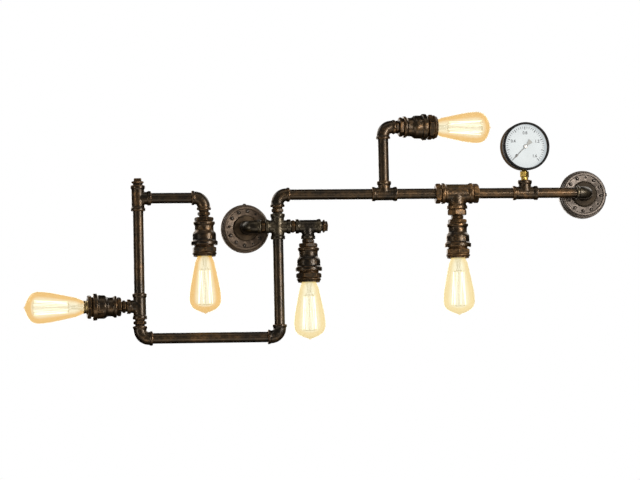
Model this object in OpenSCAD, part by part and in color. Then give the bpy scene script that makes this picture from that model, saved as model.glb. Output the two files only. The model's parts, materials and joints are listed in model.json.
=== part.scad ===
// Industrial pipe wall lamp: threaded fittings, five bulbs, a dial gauge and two wall canopies.
// Millimetres. Origin on the wall at the left canopy's centre, +X right, +Y into the wall, +Z up.

/* [Pipe] */
// Outside diameter of the pipes
pipe_od = 21.3; // [20:0.1:23]
// Wall of the pipes
pipe_wall = 2.6; // [1.5:0.1:3.5]
// Depth of every pipe socket
socket_depth = 12; // [9:0.5:13]
// Radial play of a pipe or spigot in its socket
thread_play = 0.05; // [0.02:0.01:0.1]
// Space left beyond a pipe's end in its socket
end_play = 0.4; // [0.3:0.1:1]
// Space between two seated pieces that stay separate
seat_play = 0.3; // [0.2:0.05:0.5]

/* [Fittings] */
// Wall of a fitting round its socket
fitting_wall = 2.3; // [2:0.1:3.5]
// Rise of the band at each end of a fitting
band_rise = 1.65; // [0.8:0.05:2.5]
// Length of that band
band_len = 6.5; // [4:0.5:8]
// Chamfer on the edges of the bands
band_chamfer = 0.8; // [0.3:0.1:1.2]
// Elbow, centre to end
elbow_reach = 25; // [24:0.5:34]
// Straight length at each end of an elbow
elbow_straight = 7; // [6.5:0.5:9]
// Tee and cross, centre to end
tee_reach = 26; // [25:0.5:34]
// Hex of a nipple, across its flats
nipple_hex = 23; // [22:0.5:28]
// Thickness of that hex
nipple_hex_len = 6.5; // [4:0.5:6.5]
// Depth of the relief cut on each side of that hex
nipple_relief = 0.9; // [0.4:0.1:1.5]

/* [Frame lengths] */
// Wall to the plane of the pipes
wall_offset = 60; // [52:1:90]
// Gap that a short nipple bridges
short_gap = 9; // [8:0.5:20]
// Gap that a long nipple bridges
long_gap = 13; // [9:0.5:24]
// Left post, visible length
left_post_len = 164.5; // [120:0.5:300]
// Right post, visible length
right_post_len = 170.5; // [120:0.5:300]
// Bottom pipe, visible length
bottom_pipe_len = 231; // [200:1:400]
// Left arm pipe, visible length
left_arm_len = 81; // [60:1:95]
// Main pipe, elbow to the riser's tee, visible length
main_first_len = 167; // [150:0.5:400]
// Main pipe, riser's tee to the large tee, visible length
main_second_len = 78.7; // [74:0.1:300]
// Main pipe, large tee to the gauge's tee, visible length
main_third_len = 71; // [66:0.5:300]
// Main pipe, gauge's tee to the right elbow, visible length
main_last_len = 80; // [70:0.5:300]
// Riser pipe, visible length
riser_len = 85; // [60:0.1:200]
// Turn of the upper arm towards the wall
upper_arm_turn = 5; // [0:1:6]

/* [Large tee] */
// Large tee, centre to end
large_reach = 32.2; // [31:0.1:44]
// Wall of the large tee round its socket
large_wall = 2.2; // [1.8:0.1:4]
// Rise of the large tee's end bands
large_band_rise = 2.2; // [1:0.1:4]
// Hex of the large tee's bushes, across its flats
large_hex = 36; // [35:0.5:44]
// Thickness of that hex
large_hex_len = 11; // [6:0.5:14]

/* [Lamp holder] */
// Gap that the nipple of the lamp at the far left bridges
lamp_1_gap = 11.5; // [8:0.1:24]
// Gap that the left arm lamp's nipple bridges
lamp_2_gap = 14; // [8:0.1:24]
// Gap that the stub lamp's nipple bridges
lamp_3_gap = 8.2; // [8:0.1:24]
// Gap that the main pipe lamp's nipple bridges
lamp_4_gap = 8.6; // [8:0.1:24]
// Gap that the upper lamp's nipple bridges
lamp_5_gap = 8; // [8:0.1:24]
// Thread of the hex bush
bush_thread = 33.2; // [32:0.1:35]
// Hex of the bush, across its flats
bush_hex = 34.5; // [34:0.5:40]
// Thickness of that hex
bush_hex_len = 8; // [5:0.5:12]
// Slit between a bush's hex and what it screws into
bush_slit = 0.8; // [0.4:0.1:2]
// Length of the bell
bell_len = 47.7; // [45:0.1:60]
// Wall of the bell's neck
bell_neck_wall = 2.4; // [2:0.1:4]
// Wall of the bell's body
bell_wall = 4.2; // [2.5:0.1:6]
// Rise of the bell's top band
bell_top_rise = 2.85; // [1:0.05:4]
// Length of the bell's top band
bell_top_len = 8; // [5:0.5:10]
// Rise of the bell's bottom band
bell_bottom_rise = 3.25; // [1:0.05:5]
// Length of the bell's bottom band
bell_bottom_len = 8.5; // [5:0.5:11]
// Length of the bell's neck, its top band included
bell_neck_len = 16.5; // [14:0.5:20]
// Length of the flare below the neck
bell_flare_len = 10; // [3:0.5:11]
// Depth of the bore that takes the porcelain and the collar
bell_bore_len = 24; // [21:0.5:26]
// Length of the two cast ribs on the bell
rib_len = 11; // [6:0.5:12]
// Width of those ribs
rib_w = 3; // [2:0.5:5]
// Rise of those ribs
rib_rise = 1.2; // [0.5:0.1:2]

/* [Lamp mouth] */
// Wall of the collar's threaded sleeve
collar_wall = 2; // [1.5:0.1:3]
// Length of that sleeve inside the bell
collar_grip = 14; // [8:0.5:18]
// Groove between the bell and the collar's hex
collar_gap = 3.5; // [2:0.1:5]
// Hex of the collar, across its flats
collar_hex = 45; // [44:0.5:52]
// Thickness of the collar's hex
collar_hex_len = 10.5; // [9:0.5:14]
// Thickness of the plain collar's hex, on the lamp with no mouth ring
plain_hex_len = 7.5; // [6.5:0.5:9]
// Narrowing of the collar's bore that holds the porcelain in
collar_lip = 1.5; // [0.5:0.1:2]
// Spigot that the mouth ring screws on
ring_grip = 5; // [3:0.5:6]
// Wall of that spigot
spigot_wall = 2.6; // [1.5:0.1:3]
// Length of the mouth ring
ring_len = 8; // [7:0.5:11]
// Wall of the mouth ring at its bead
ring_wall = 4.2; // [3:0.1:6]
// Taper of the mouth ring towards the glass
ring_taper = 2; // [1:0.1:2.5]
// Height of the serrations on the ring's edge
ring_crown = 3; // [1:0.5:4]
// Depth of those serrations
ring_notch = 1.2; // [0.4:0.1:1.5]
// Number of those serrations
ring_teeth = 24; // [12:1:40]

/* [Socket] */
// Wall of the porcelain round the screw shell
porcelain_wall = 3; // [2:0.1:4]
// Sheet of the brass screw shell
shell_wall = 0.7; // [0.5:0.1:1.2]
// Radial play of the bulb's cap in the shell
cap_play = 0.6; // [0.4:0.1:0.9]
// Porcelain's mouth beyond the bell's end
porcelain_out = 9; // [7:0.5:9]
// Diameter of the centre contact
contact_d = 10; // [6:0.5:14]
// Height of the centre contact
contact_h = 1.8; // [1:0.1:3]
// Space between the contact and the bulb's tip
contact_play = 0.3; // [0.2:0.1:0.6]
// Wire holes through the porcelain, diameter
wire_hole = 3; // [2:0.5:4]

/* [Bulb] */
// Diameter of the bulb's screw cap
cap_d = 26.2; // [25:0.1:27]
// Wall of the bulb's cap
cap_wall = 1.2; // [0.8:0.1:1.5]
// Bulb's tip contact behind the bell's end
tip_depth = 3; // [1:0.5:6]
// Start of the glass beyond the bell's end
glass_start = 18.5; // [17:0.5:19]
// Length of the glass
glass_len = 119; // [100:1:130]
// Largest diameter of the glass
bulb_d = 64.6; // [56:0.2:68]
// Largest diameter's distance from the start of the glass
belly_at = 87.5; // [70:0.5:95]
// Diameter of the glass just past the mouth
neck_d = 39.4; // [35:0.2:40]
// Distance of that diameter from the start of the glass
neck_at = 15; // [12:0.5:18]
// Thickness of the glass
glass_wall = 1; // [0.6:0.1:1.4]
// Start of the filament cage from the start of the glass
cage_start = 30; // [24:1:40]
// Length of the filament cage
cage_len = 58; // [40:1:62]
// Diameter of the cage near the cap
cage_near_d = 18; // [12:1:22]
// Diameter of the cage far from the cap
cage_far_d = 26; // [16:1:34]
// Strands of the filament
cage_strands = 12; // [8:2:16]
// Thickness of the filament and its support wires
wire_d = 0.8; // [0.5:0.1:1.2]
// Diameter of the glass stem
stem_d = 9; // [6:0.5:12]

/* [Canopy] */
// Diameter of the canopy at the wall
canopy_d = 98; // [94:1:120]
// Depth of the canopy
canopy_depth = 26; // [18:0.5:30]
// Sheet of the canopy
canopy_wall = 3; // [2:0.1:4]
// Inset of the face's lip from the rim, over three steps
face_inset = 6; // [3:0.5:6]
// Depth of the groove behind each step
step_groove = 0.8; // [0.4:0.1:1]
// Width of that groove
groove_w = 1.5; // [1:0.1:2]
// Width of the face's lip
lip_w = 3; // [2:0.5:4]
// Depth of the face below its lip
face_drop = 1.5; // [0.5:0.1:2]
// Diameter of the raised hub
hub_d = 51; // [44:1:54]
// Rise of the hub above the face
hub_rise = 3; // [1:0.5:6]
// Circle of the rivets
rivet_circle = 69; // [66:1:72]
// Head diameter of the large rivets
rivet_d = 6.4; // [4:0.2:8]
// Head diameter of the small rivets
small_rivet_d = 3.6; // [2.8:0.2:4.4]
// Shank of the rivets
rivet_shank = 2.4; // [1.6:0.2:2.6]
// Places for rivets round the face
rivet_places = 12; // [12:1:12]
// Angle of the first rivet
rivet_turn = 24; // [0:1:30]
// Locknut, across its flats
locknut_hex = 30; // [28:1:34]
// Thickness of the locknut
locknut_len = 5; // [3:0.5:6]

/* [Bracket] */
// Length of the bracket's strap
strap_len = 80; // [74:1:83]
// Width of the strap
strap_w = 22; // [18:1:26]
// Thickness of the strap
strap_t = 2.5; // [2:0.1:3]
// Height of the bent tab
tab_h = 13; // [10:0.5:14]
// Distance between the wall screw holes
screw_spacing = 60; // [50:1:64]
// Diameter of the wall screw holes
screw_hole = 5.5; // [4:0.1:6]
// Thread of the side screw
side_screw = 4; // [3:0.5:5]
// Head diameter of the side screw
side_head_d = 7; // [6:0.5:9]
// Head height of the side screw
side_head_h = 2.2; // [1.5:0.1:3]
// Terminal block size
terminal_size = [18, 12, 6.5];
// Terminal block's distance below the strap's centre
terminal_drop = 19; // [17:0.5:19.5]

/* [Plug] */
// Flange of the plug, across its flats
plug_hex = 23.5; // [22:0.5:26]
// Thickness of the plug's flange
plug_hex_len = 4; // [3:0.5:6]
// Neck between the fitting and the plug's flange
plug_neck = 4; // [2:0.5:6]
// Side of the plug's square head
plug_head = 15; // [12:0.5:17]
// Height of the plug's square head
plug_head_len = 6; // [4:0.5:9]

/* [Gauge] */
// Diameter of the gauge's case
case_d = 95.6; // [90:0.2:110]
// Depth of the case
case_depth = 30; // [26:0.5:40]
// Sheet of the case
case_wall = 1.6; // [1:0.1:2.5]
// Stem axis in front of the case's back
stem_depth = 14; // [12:0.5:16]
// Height of the gauge's centre above the main pipe
gauge_rise = 94; // [90:0.5:120]
// Turn of the gauge's face to the right
gauge_turn = 6; // [0:1:15]
// Side of the stem's square
stem_square = 13.5; // [11:0.5:15]
// Neck of the stem below its square
stem_neck_d = 15; // [12:0.5:18]
// Length of that neck
stem_neck_len = 6; // [3:0.5:8]
// Neck of the stem where it enters the case
stem_entry_d = 11; // [8:0.5:13]
// Wall of the bezel round the case
bezel_wall = 1.15; // [0.8:0.05:2.5]
// Length of the bezel
bezel_len = 11; // [8:0.5:14]
// Width of the bezel's front lip over the glass
bezel_lip = 3.6; // [2:0.1:6]
// Thickness of that lip
bezel_lip_t = 2; // [1:0.1:3]
// Thickness of the gauge's glass
pane_t = 2.2; // [1.5:0.1:3]
// Dial's depth below the glass
dial_drop = 7; // [6:0.5:9]
// Thickness of the dial plate
dial_t = 1; // [0.6:0.1:1.5]
// Radial play of the dial in the case
dial_play = 0.3; // [0.2:0.1:0.6]
// Arbor of the pointer, diameter
arbor_d = 2.6; // [2:0.1:4]
// Radial play of the arbor in its bearing
arbor_play = 0.05; // [0.02:0.01:0.1]
// Pointer, hub to tip
pointer_len = 37; // [28:0.5:40]
// Pointer's tail
pointer_tail = 16; // [10:0.5:20]
// Thickness of the pointer
pointer_t = 0.8; // [0.5:0.1:1.2]
// Width of the pointer at its hub
pointer_w = 4; // [2.5:0.1:5]
// Pointer's angle at rest, seen from the front
pointer_rest = 225; // [200:1:240]
// Size of the movement's plate
movement_size = [26, 26, 6];
// Radius of the curved pressure tube
tube_r = 33; // [28:0.5:38]
// Thickness of the curved pressure tube
tube_d = 6; // [4:0.5:8]

/* [Hidden] */
$fn = 64;
hex = 6;
eps = 0.01;

bronze = [0.24, 0.17, 0.12];
dark_bronze = [0.17, 0.13, 0.10];
brass = [0.72, 0.55, 0.25];
steel = [0.55, 0.55, 0.56];
porcelain = [0.90, 0.88, 0.84];
amber = [0.95, 0.78, 0.45, 0.4];
clear = [0.85, 0.9, 0.95, 0.3];

// Radii shared by pipes and fittings
pipe_r = pipe_od / 2;
bore_r = pipe_r - pipe_wall;
socket_r = pipe_r + thread_play;
spigot_len = socket_depth - end_play;
fitting_r = socket_r + fitting_wall;
branch_r = fitting_r - 0.3;
band_r = fitting_r + band_rise;
bend_r = elbow_reach - elbow_straight;

// Radii along the lamp holder, from the bulb's cap outwards
cap_r = cap_d / 2;
shell_in_r = cap_r + cap_play;
shell_r = shell_in_r + shell_wall;
porcelain_in_r = shell_r + thread_play;
porcelain_r = porcelain_in_r + porcelain_wall;
collar_in_r = porcelain_r + thread_play;
collar_r = collar_in_r + collar_wall;
lip_r = collar_in_r - collar_lip;
bell_in_r = collar_r + thread_play;
bell_r = bell_in_r + bell_wall;
bush_r = bush_thread / 2;
bush_socket_r = bush_r + thread_play;
bell_neck_r = bush_socket_r + bell_neck_wall;
spigot_r = lip_r + collar_lip + spigot_wall;
ring_in_r = spigot_r + thread_play;

// Distances along the lamp holder, from the end of the bell
collar_hex_at = collar_gap;
shelf_at = porcelain_out + thread_play;
ring_at = collar_gap + collar_hex_len + seat_play;
ring_end = ring_at + ring_len;
porcelain_back = -bell_bore_len + thread_play;
contact_floor = -tip_depth - contact_play - contact_h - seat_play;
contact_at = contact_floor + seat_play;

// Lengths along the main pipe and gaps above the lamps
main_pipe_lens = [main_first_len, main_second_len, main_third_len, main_last_len];
lamp_gaps = [lamp_1_gap, lamp_2_gap, lamp_3_gap, lamp_4_gap, lamp_5_gap];

// Centres of the fittings
plane_y = -wall_offset;
cross_x = elbow_reach + short_gap + tee_reach;
main_z = tee_reach + long_gap + elbow_reach;
bottom_z = -(tee_reach + right_post_len + elbow_reach);
left_x = cross_x - 2 * elbow_reach - bottom_pipe_len;
left_tee_z = bottom_z + elbow_reach + long_gap + tee_reach;
arm_z = left_tee_z + 2 * tee_reach + left_post_len;
arm_elbow_x = left_x + tee_reach + left_arm_len + elbow_reach;
stub_x = cross_x + 2 * tee_reach + short_gap;
large_half = large_reach + bush_slit + large_hex_len;
riser_x = cross_x + elbow_reach + main_pipe_lens[0] + tee_reach;
large_x = riser_x + tee_reach + main_pipe_lens[1] + large_half;
gauge_x = large_x + large_half + main_pipe_lens[2] + tee_reach;
right_x = gauge_x + tee_reach + main_pipe_lens[3] + elbow_reach;
upper_z = main_z + tee_reach + riser_len + elbow_reach;
gauge_z = main_z + gauge_rise;

// Where each lamp starts, and the turn that points its axis outwards
upper_out = [cos(upper_arm_turn), sin(upper_arm_turn), 0];
lamp_starts = [
    [left_x - tee_reach, plane_y, left_tee_z],
    [arm_elbow_x, plane_y, arm_z - elbow_reach],
    [stub_x, plane_y, -tee_reach],
    [large_x, plane_y, main_z - large_half],
    [riser_x, plane_y, upper_z] + elbow_reach * upper_out
];
down = [180, 0, 0];
lamp_turns = [[0, -90, 0], down, down, down, [0, 90, upper_arm_turn]];
ringed = [false, true, true, true, true];
hex_turns = [12, 20, 49, 25, 5];

// Wall canopy
canopy_r = canopy_d / 2;
face_z = canopy_depth - face_drop;
hub_z = face_z + hub_rise;
ceiling_z = face_z - canopy_wall;
nipple_back = ceiling_z - locknut_len - 1;
canopies = [[0, 0, 90], [right_x, main_z, 0]];
face_r = canopy_r - face_inset;
canopy_in_r = canopy_r - canopy_wall - face_inset / 2;

// Gauge, measured forwards from the back of its case
case_r = case_d / 2;
case_in_r = case_r - case_wall;
bezel_in_r = case_r + thread_play;
bezel_r = bezel_in_r + bezel_wall;
pane_z = case_depth;
lip_z = pane_z + pane_t;
dial_z = pane_z - dial_drop;
pointer_z = dial_z + dial_t + 1.2;
dial_r = case_in_r - dial_play;
movement_z = dial_z - 4 - movement_size[2];
stem_top = gauge_rise - movement_size[1] / 2;

// A point of a cubic curve through two end points and their two handles
function curve(a, b, c, d, t) =
    pow(1 - t, 3) * a + 3 * pow(1 - t, 2) * t * b + 3 * (1 - t) * t * t * c + pow(t, 3) * d;
function curve_points(a, b, c, d, steps, from = 0) =
    [for (i = [from : steps]) curve(a, b, c, d, i / steps)];

// Half outline of a fitting's arm, from its centre to its end
function arm_outline(reach, body, band, length) = [
    [0, 0],
    [body, 0],
    [body, reach - length - (band - body)],
    [band, reach - length],
    [band, reach - band_chamfer],
    [band - band_chamfer, reach],
    [0, reach]
];

// Outline of the glass: radius and distance from the glass's start
belly_r = bulb_d / 2;
neck_r = neck_d / 2;
tip_r = 2.4;
tip_len = 1.6;
belly_run = belly_at - neck_at;
end_run = glass_len - tip_len - belly_at;
function glass_outline(inset) = concat(
    curve_points(
        [cap_r + 0.3 - inset, 0],
        [cap_r + 0.8 - inset, 0.2 * neck_at],
        [neck_r - 2.6 - inset, 0.5 * neck_at],
        [neck_r - inset, neck_at],
        6
    ),
    curve_points(
        [neck_r - inset, neck_at],
        [neck_r + (belly_r - neck_r) / 3 - inset, neck_at + 0.3 * belly_run],
        [belly_r - inset, belly_at - 0.26 * belly_run],
        [belly_r - inset, belly_at],
        9,
        1
    ),
    curve_points(
        [belly_r - inset, belly_at],
        [belly_r - inset, belly_at + 0.48 * end_run],
        [0.86 * belly_r - inset, belly_at + 0.76 * end_run],
        [tip_r - 0.6 * inset, glass_len - tip_len - inset],
        10,
        1
    )
);

module tube(outer, inner, length) {
    difference() {
        cylinder(r = outer, h = length);
        translate([0, 0, -1]) cylinder(r = inner, h = length + 2);
    }
}

// A hex with its corners turned off at both ends
module turned_hex(flats, length, turn = 0) {
    corner = flats / sqrt(3);
    bevel = corner - flats / 2;
    intersection() {
        rotate(turn) cylinder(r = corner, h = length, $fn = hex);
        rotate_extrude()
            polygon([
                [0, 0],
                [corner - bevel, 0],
                [corner + eps, bevel * 0.6],
                [corner + eps, length - bevel * 0.6],
                [corner - bevel, length],
                [0, length]
            ]);
    }
}

// An arm of a fitting along +Z, solid
module fitting_arm(reach, body, band, length) {
    rotate_extrude() polygon(arm_outline(reach, body, band, length));
}

module socket_cut(reach, radius, depth) {
    translate([0, 0, reach - depth]) cylinder(r = radius, h = depth + 1);
}

// Elbow with its centre at the origin and its arms along +X and +Y
module elbow() {
    arms = [[0, 90, 0], [-90, 0, 0]];
    difference() {
        union() {
            translate([bend_r, bend_r, 0])
                rotate(180)
                    rotate_extrude(angle = 90) translate([bend_r, 0]) circle(r = fitting_r);
            for (a = arms)
                rotate(a)
                    translate([0, 0, bend_r])
                        fitting_arm(elbow_straight, fitting_r, band_r, band_len - band_rise);
        }
        translate([bend_r, bend_r, 0])
            rotate(180)
                rotate_extrude(angle = 90) translate([bend_r, 0]) circle(r = bore_r);
        for (a = arms)
            rotate(a) socket_cut(elbow_reach, socket_r, socket_depth);
    }
}

// Tee with its run along X and its branch along +Y, for any size of socket
module tee(reach, body, branch, band, socket, depth, bore) {
    run = [[0, 90, 0], [0, -90, 0]];
    side = [-90, 0, 0];
    difference() {
        union() {
            for (a = run)
                rotate(a) fitting_arm(reach, body, band, band_len);
            rotate(side) fitting_arm(reach, branch, band, band_len);
        }
        for (a = concat(run, [side]))
            rotate(a) socket_cut(reach, socket, depth);
        rotate(run[0]) cylinder(r = bore, h = 2 * (reach - depth) + 2, center = true);
        rotate(side) cylinder(r = bore - 0.3, h = reach - depth + 1);
    }
}

module small_tee() {
    tee(tee_reach, fitting_r, branch_r, band_r, socket_r, socket_depth, bore_r);
}

// Hex nipple along +Z, from one fitting's end face to the next, with a spigot at each end
module hex_nipple(gap, turn = 0) {
    relief_r = pipe_r - nipple_relief;
    hex_at = (gap - nipple_hex_len) / 2;
    difference() {
        union() {
            for (z = [-spigot_len, gap])
                translate([0, 0, z]) cylinder(r = pipe_r, h = spigot_len);
            cylinder(r = relief_r, h = gap);
            translate([0, 0, hex_at]) turned_hex(nipple_hex, nipple_hex_len, turn);
        }
        translate([0, 0, -spigot_len - 1]) cylinder(r = bore_r, h = gap + 2 * spigot_len + 2);
    }
}

// Hex bush along +Z: hex first, then the slit and the thread that screws into the next piece
module hex_bush(flats, length, turn = 0) {
    thread_at = length + bush_slit;
    difference() {
        union() {
            turned_hex(flats, length, turn);
            translate([0, 0, length - eps]) cylinder(r = bush_r - 1, h = bush_slit + 2 * eps);
            translate([0, 0, thread_at]) cylinder(r = bush_r, h = spigot_len);
        }
        translate([0, 0, -1]) cylinder(r = socket_r, h = socket_depth + 1);
        cylinder(r = bore_r, h = thread_at + spigot_len + 1);
    }
}

// Plug along +Z, out of a fitting's end face
module square_plug(head_turn) {
    color(dark_bronze) {
        translate([0, 0, -spigot_len]) cylinder(r = pipe_r, h = spigot_len);
        cylinder(r = pipe_r - nipple_relief, h = plug_neck);
        translate([0, 0, plug_neck]) turned_hex(plug_hex, plug_hex_len, 15);
        translate([0, 0, plug_neck + plug_hex_len + plug_head_len / 2 - eps])
            rotate(head_turn) cube([plug_head, plug_head, plug_head_len], center = true);
    }
}

// A pipe along +Z between two fittings' end faces, reaching into both sockets
module pipe(length) {
    color(bronze)
        translate([0, 0, -spigot_len]) tube(pipe_r, bore_r, length + 2 * spigot_len);
}

module at_lamp(i) {
    translate(lamp_starts[i]) rotate(lamp_turns[i]) children();
}

// Local frame at the end of a lamp's bell
module at_bell_end(i) {
    at_lamp(i)
        translate([0, 0, lamp_gaps[i] + bush_hex_len + bush_slit + bell_len]) children();
}

module lamp_nipple(i) {
    color(dark_bronze) at_lamp(i) hex_nipple(lamp_gaps[i], hex_turns[i]);
}

module lamp_bush(i) {
    color(dark_bronze)
        at_lamp(i)
            translate([0, 0, lamp_gaps[i]]) hex_bush(bush_hex, bush_hex_len, hex_turns[i]);
}

// Bell reducer, ending at the origin of the bell-end frame
module lamp_bell(i) {
    top = -bell_len;
    flare_at = top + bell_neck_len;
    bottom_at = -bell_bottom_len;
    top_r = bell_neck_r + bell_top_rise;
    bottom_r = bell_r + bell_bottom_rise;
    color(bronze)
        at_bell_end(i)
            difference() {
                union() {
                    rotate_extrude()
                        polygon(concat(
                            [[0, top], [top_r - band_chamfer, top], [top_r, top + band_chamfer]],
                            [[top_r, top + bell_top_len - bell_top_rise]],
                            [[bell_neck_r, top + bell_top_len]],
                            curve_points(
                                [bell_neck_r, flare_at],
                                [bell_neck_r, flare_at + 0.45 * bell_flare_len],
                                [bell_r, flare_at + 0.4 * bell_flare_len],
                                [bell_r, flare_at + bell_flare_len],
                                6
                            ),
                            [[bell_r, bottom_at - bell_bottom_rise * 0.4]],
                            [[bottom_r - band_chamfer, bottom_at], [bottom_r, bottom_at + band_chamfer]],
                            [[bottom_r, -band_chamfer], [bottom_r - band_chamfer, 0], [0, 0]]
                        ));
                    for (a = [60, 240])
                        rotate(a)
                            translate([bell_r - 1, -rib_w / 2, bottom_at - rib_len])
                                cube([rib_rise + 1, rib_w, rib_len]);
                }
                translate([0, 0, top - 1]) cylinder(r = bush_socket_r, h = socket_depth + 1);
                translate([0, 0, top]) cylinder(r = porcelain_in_r - 1, h = bell_len);
                translate([0, 0, -bell_bore_len]) cylinder(r = bell_in_r, h = bell_bore_len + 1);
            }
}

// Hex collar that screws into the bell and clamps the porcelain against the bell's step
module lamp_collar(i) {
    hex_len = ringed[i] ? collar_hex_len : plain_hex_len;
    hex_end = collar_hex_at + hex_len;
    color(dark_bronze)
        at_bell_end(i)
            difference() {
                union() {
                    translate([0, 0, -collar_grip])
                        cylinder(r = collar_r, h = collar_grip + collar_gap + 1);
                    translate([0, 0, collar_hex_at])
                        turned_hex(collar_hex, hex_len, hex_turns[i] + 10);
                    if (ringed[i])
                        translate([0, 0, hex_end - 1]) cylinder(r = spigot_r, h = ring_grip + 1);
                }
                translate([0, 0, -collar_grip - 1])
                    cylinder(r = collar_in_r, h = collar_grip + 1 + shelf_at);
                cylinder(r = lip_r, h = hex_end + 1);
                translate([0, 0, hex_end])
                    cylinder(r = collar_in_r, h = ring_grip + 1);
            }
}

// Serrated ring that screws on the collar's spigot
module lamp_ring(i) {
    bead_r = ring_in_r + ring_wall;
    edge_r = bead_r - ring_taper;
    tooth = 360 / ring_teeth;
    if (ringed[i])
        color(dark_bronze)
            at_bell_end(i)
                difference() {
                    union() {
                        rotate_extrude()
                            polygon([
                                [0, ring_at],
                                [bead_r - 1, ring_at],
                                [bead_r, ring_at + 1],
                                [bead_r, ring_at + ring_len * 0.4],
                                [edge_r, ring_end - ring_crown],
                                [0, ring_end - ring_crown]
                            ]);
                        translate([0, 0, ring_end - ring_crown - eps])
                            linear_extrude(ring_crown + eps)
                                polygon([
                                    for (k = [0 : 2 * ring_teeth - 1])
                                        let (r = edge_r - ring_notch * (k % 2))
                                            r * [cos(k * tooth / 2), sin(k * tooth / 2)]
                                ]);
                    }
                    translate([0, 0, ring_at - 1]) cylinder(r = ring_in_r, h = ring_grip + 1.3);
                    translate([0, 0, ring_at]) cylinder(r = collar_in_r + 0.9, h = ring_len + 1);
                }
}

module lamp_mouth(i) {
    lamp_collar(i);
    lamp_ring(i);
}

// Porcelain socket with its brass screw shell and centre contact
module lamp_socket(i) {
    at_bell_end(i) {
        color(porcelain)
            difference() {
                translate([0, 0, porcelain_back])
                    cylinder(r = porcelain_r, h = porcelain_out - porcelain_back);
                translate([0, 0, contact_floor])
                    cylinder(r = porcelain_in_r, h = porcelain_out - contact_floor + 1);
                for (a = [0, 180])
                    rotate(a)
                        translate([contact_d / 2 + wire_hole, 0, porcelain_back - 1])
                            cylinder(d = wire_hole, h = bell_bore_len);
            }
        color(brass) {
            translate([0, 0, contact_at])
                tube(shell_r, shell_in_r, porcelain_out - contact_at - 0.5);
            translate([0, 0, contact_at]) cylinder(d = contact_d, h = contact_h);
        }
    }
}

module lamp_adapters(i) {
    lamp_nipple(i);
    lamp_bush(i);
}

module bulb_glass(i) {
    outside = glass_outline(0);
    inside = glass_outline(glass_wall);
    color(amber)
        at_bell_end(i)
            translate([0, 0, glass_start])
                rotate_extrude()
                    polygon(concat(
                        outside,
                        [[tip_r * 0.6, glass_len - 0.2], [0, glass_len]],
                        [[0, glass_len - tip_len - glass_wall]],
                        [for (k = [len(inside) - 1 : -1 : 0]) inside[k]]
                    ));
}

// A straight wire of hex section between two points
module wire(a, b) {
    v = b - a;
    h = norm(v);
    translate(a)
        rotate([0, acos(v[2] / h), atan2(v[1], v[0])]) cylinder(d = wire_d, h = h, $fn = hex);
}

// Brass cap with its thread as rings, the stem, and the filament cage on its support wires
module bulb_base(i) {
    pitch = 3.6;
    thread_from = 2.5;
    turns = floor((glass_start - 1 - thread_from) / pitch);
    root_r = cap_r - 1;
    near = glass_start + cage_start;
    far = near + cage_len;
    step = 360 / cage_strands;
    color(brass)
        at_bell_end(i) {
            difference() {
                rotate_extrude()
                    polygon(concat(
                        [[0, -tip_depth], [3.6, -tip_depth], [4.6, 1 - tip_depth]],
                        [[9.5, 1.6], [root_r, 1.8]],
                        [
                            for (k = [0 : turns - 1], p = [[root_r, 0], [cap_r, 0.35], [cap_r, 0.65]])
                                [p[0], thread_from + (k + p[1]) * pitch]
                        ],
                        [[root_r, thread_from + turns * pitch], [cap_r, glass_start - 1]],
                        [[cap_r, glass_start], [0, glass_start]]
                    ));
                translate([0, 0, thread_from + 0.5])
                    cylinder(r = root_r - cap_wall, h = glass_start - thread_from - 0.5 - cap_wall);
                for (a = [0, 180])
                    rotate(a)
                        translate([(root_r + stem_d / 2) / 2 + 1, 0, glass_start - 2 * cap_wall])
                            cylinder(d = 2, h = 3 * cap_wall);
            }
            translate([0, 0, glass_start - cap_wall / 2])
                cylinder(d1 = stem_d + 3, d2 = stem_d, h = 4);
            translate([0, 0, glass_start]) cylinder(d = stem_d, h = cage_start * 0.7);
            translate([0, 0, glass_start]) cylinder(d = 3, h = cage_start + cage_len + 3);
            for (k = [0 : cage_strands - 1]) {
                a = k * step;
                b = a + step;
                low = [cage_near_d / 2 * cos(a), cage_near_d / 2 * sin(a), near];
                high = [cage_far_d / 2 * cos(b), cage_far_d / 2 * sin(b), far];
                low_next = [cage_near_d / 2 * cos(b + step), cage_near_d / 2 * sin(b + step), near];
                if (k % 2 == 0) {
                    wire([0, 0, near], low * 1.0 + [cos(a), sin(a), 0] * 0.4);
                    wire([0, 0, far], high + [cos(b), sin(b), 0] * 0.4);
                    wire(low, high);
                    wire(low_next, high);
                }
            }
        }
}

module at_canopy(k) {
    translate([canopies[k][0], 0, canopies[k][1]]) rotate([90, 0, 0]) children();
}

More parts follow.
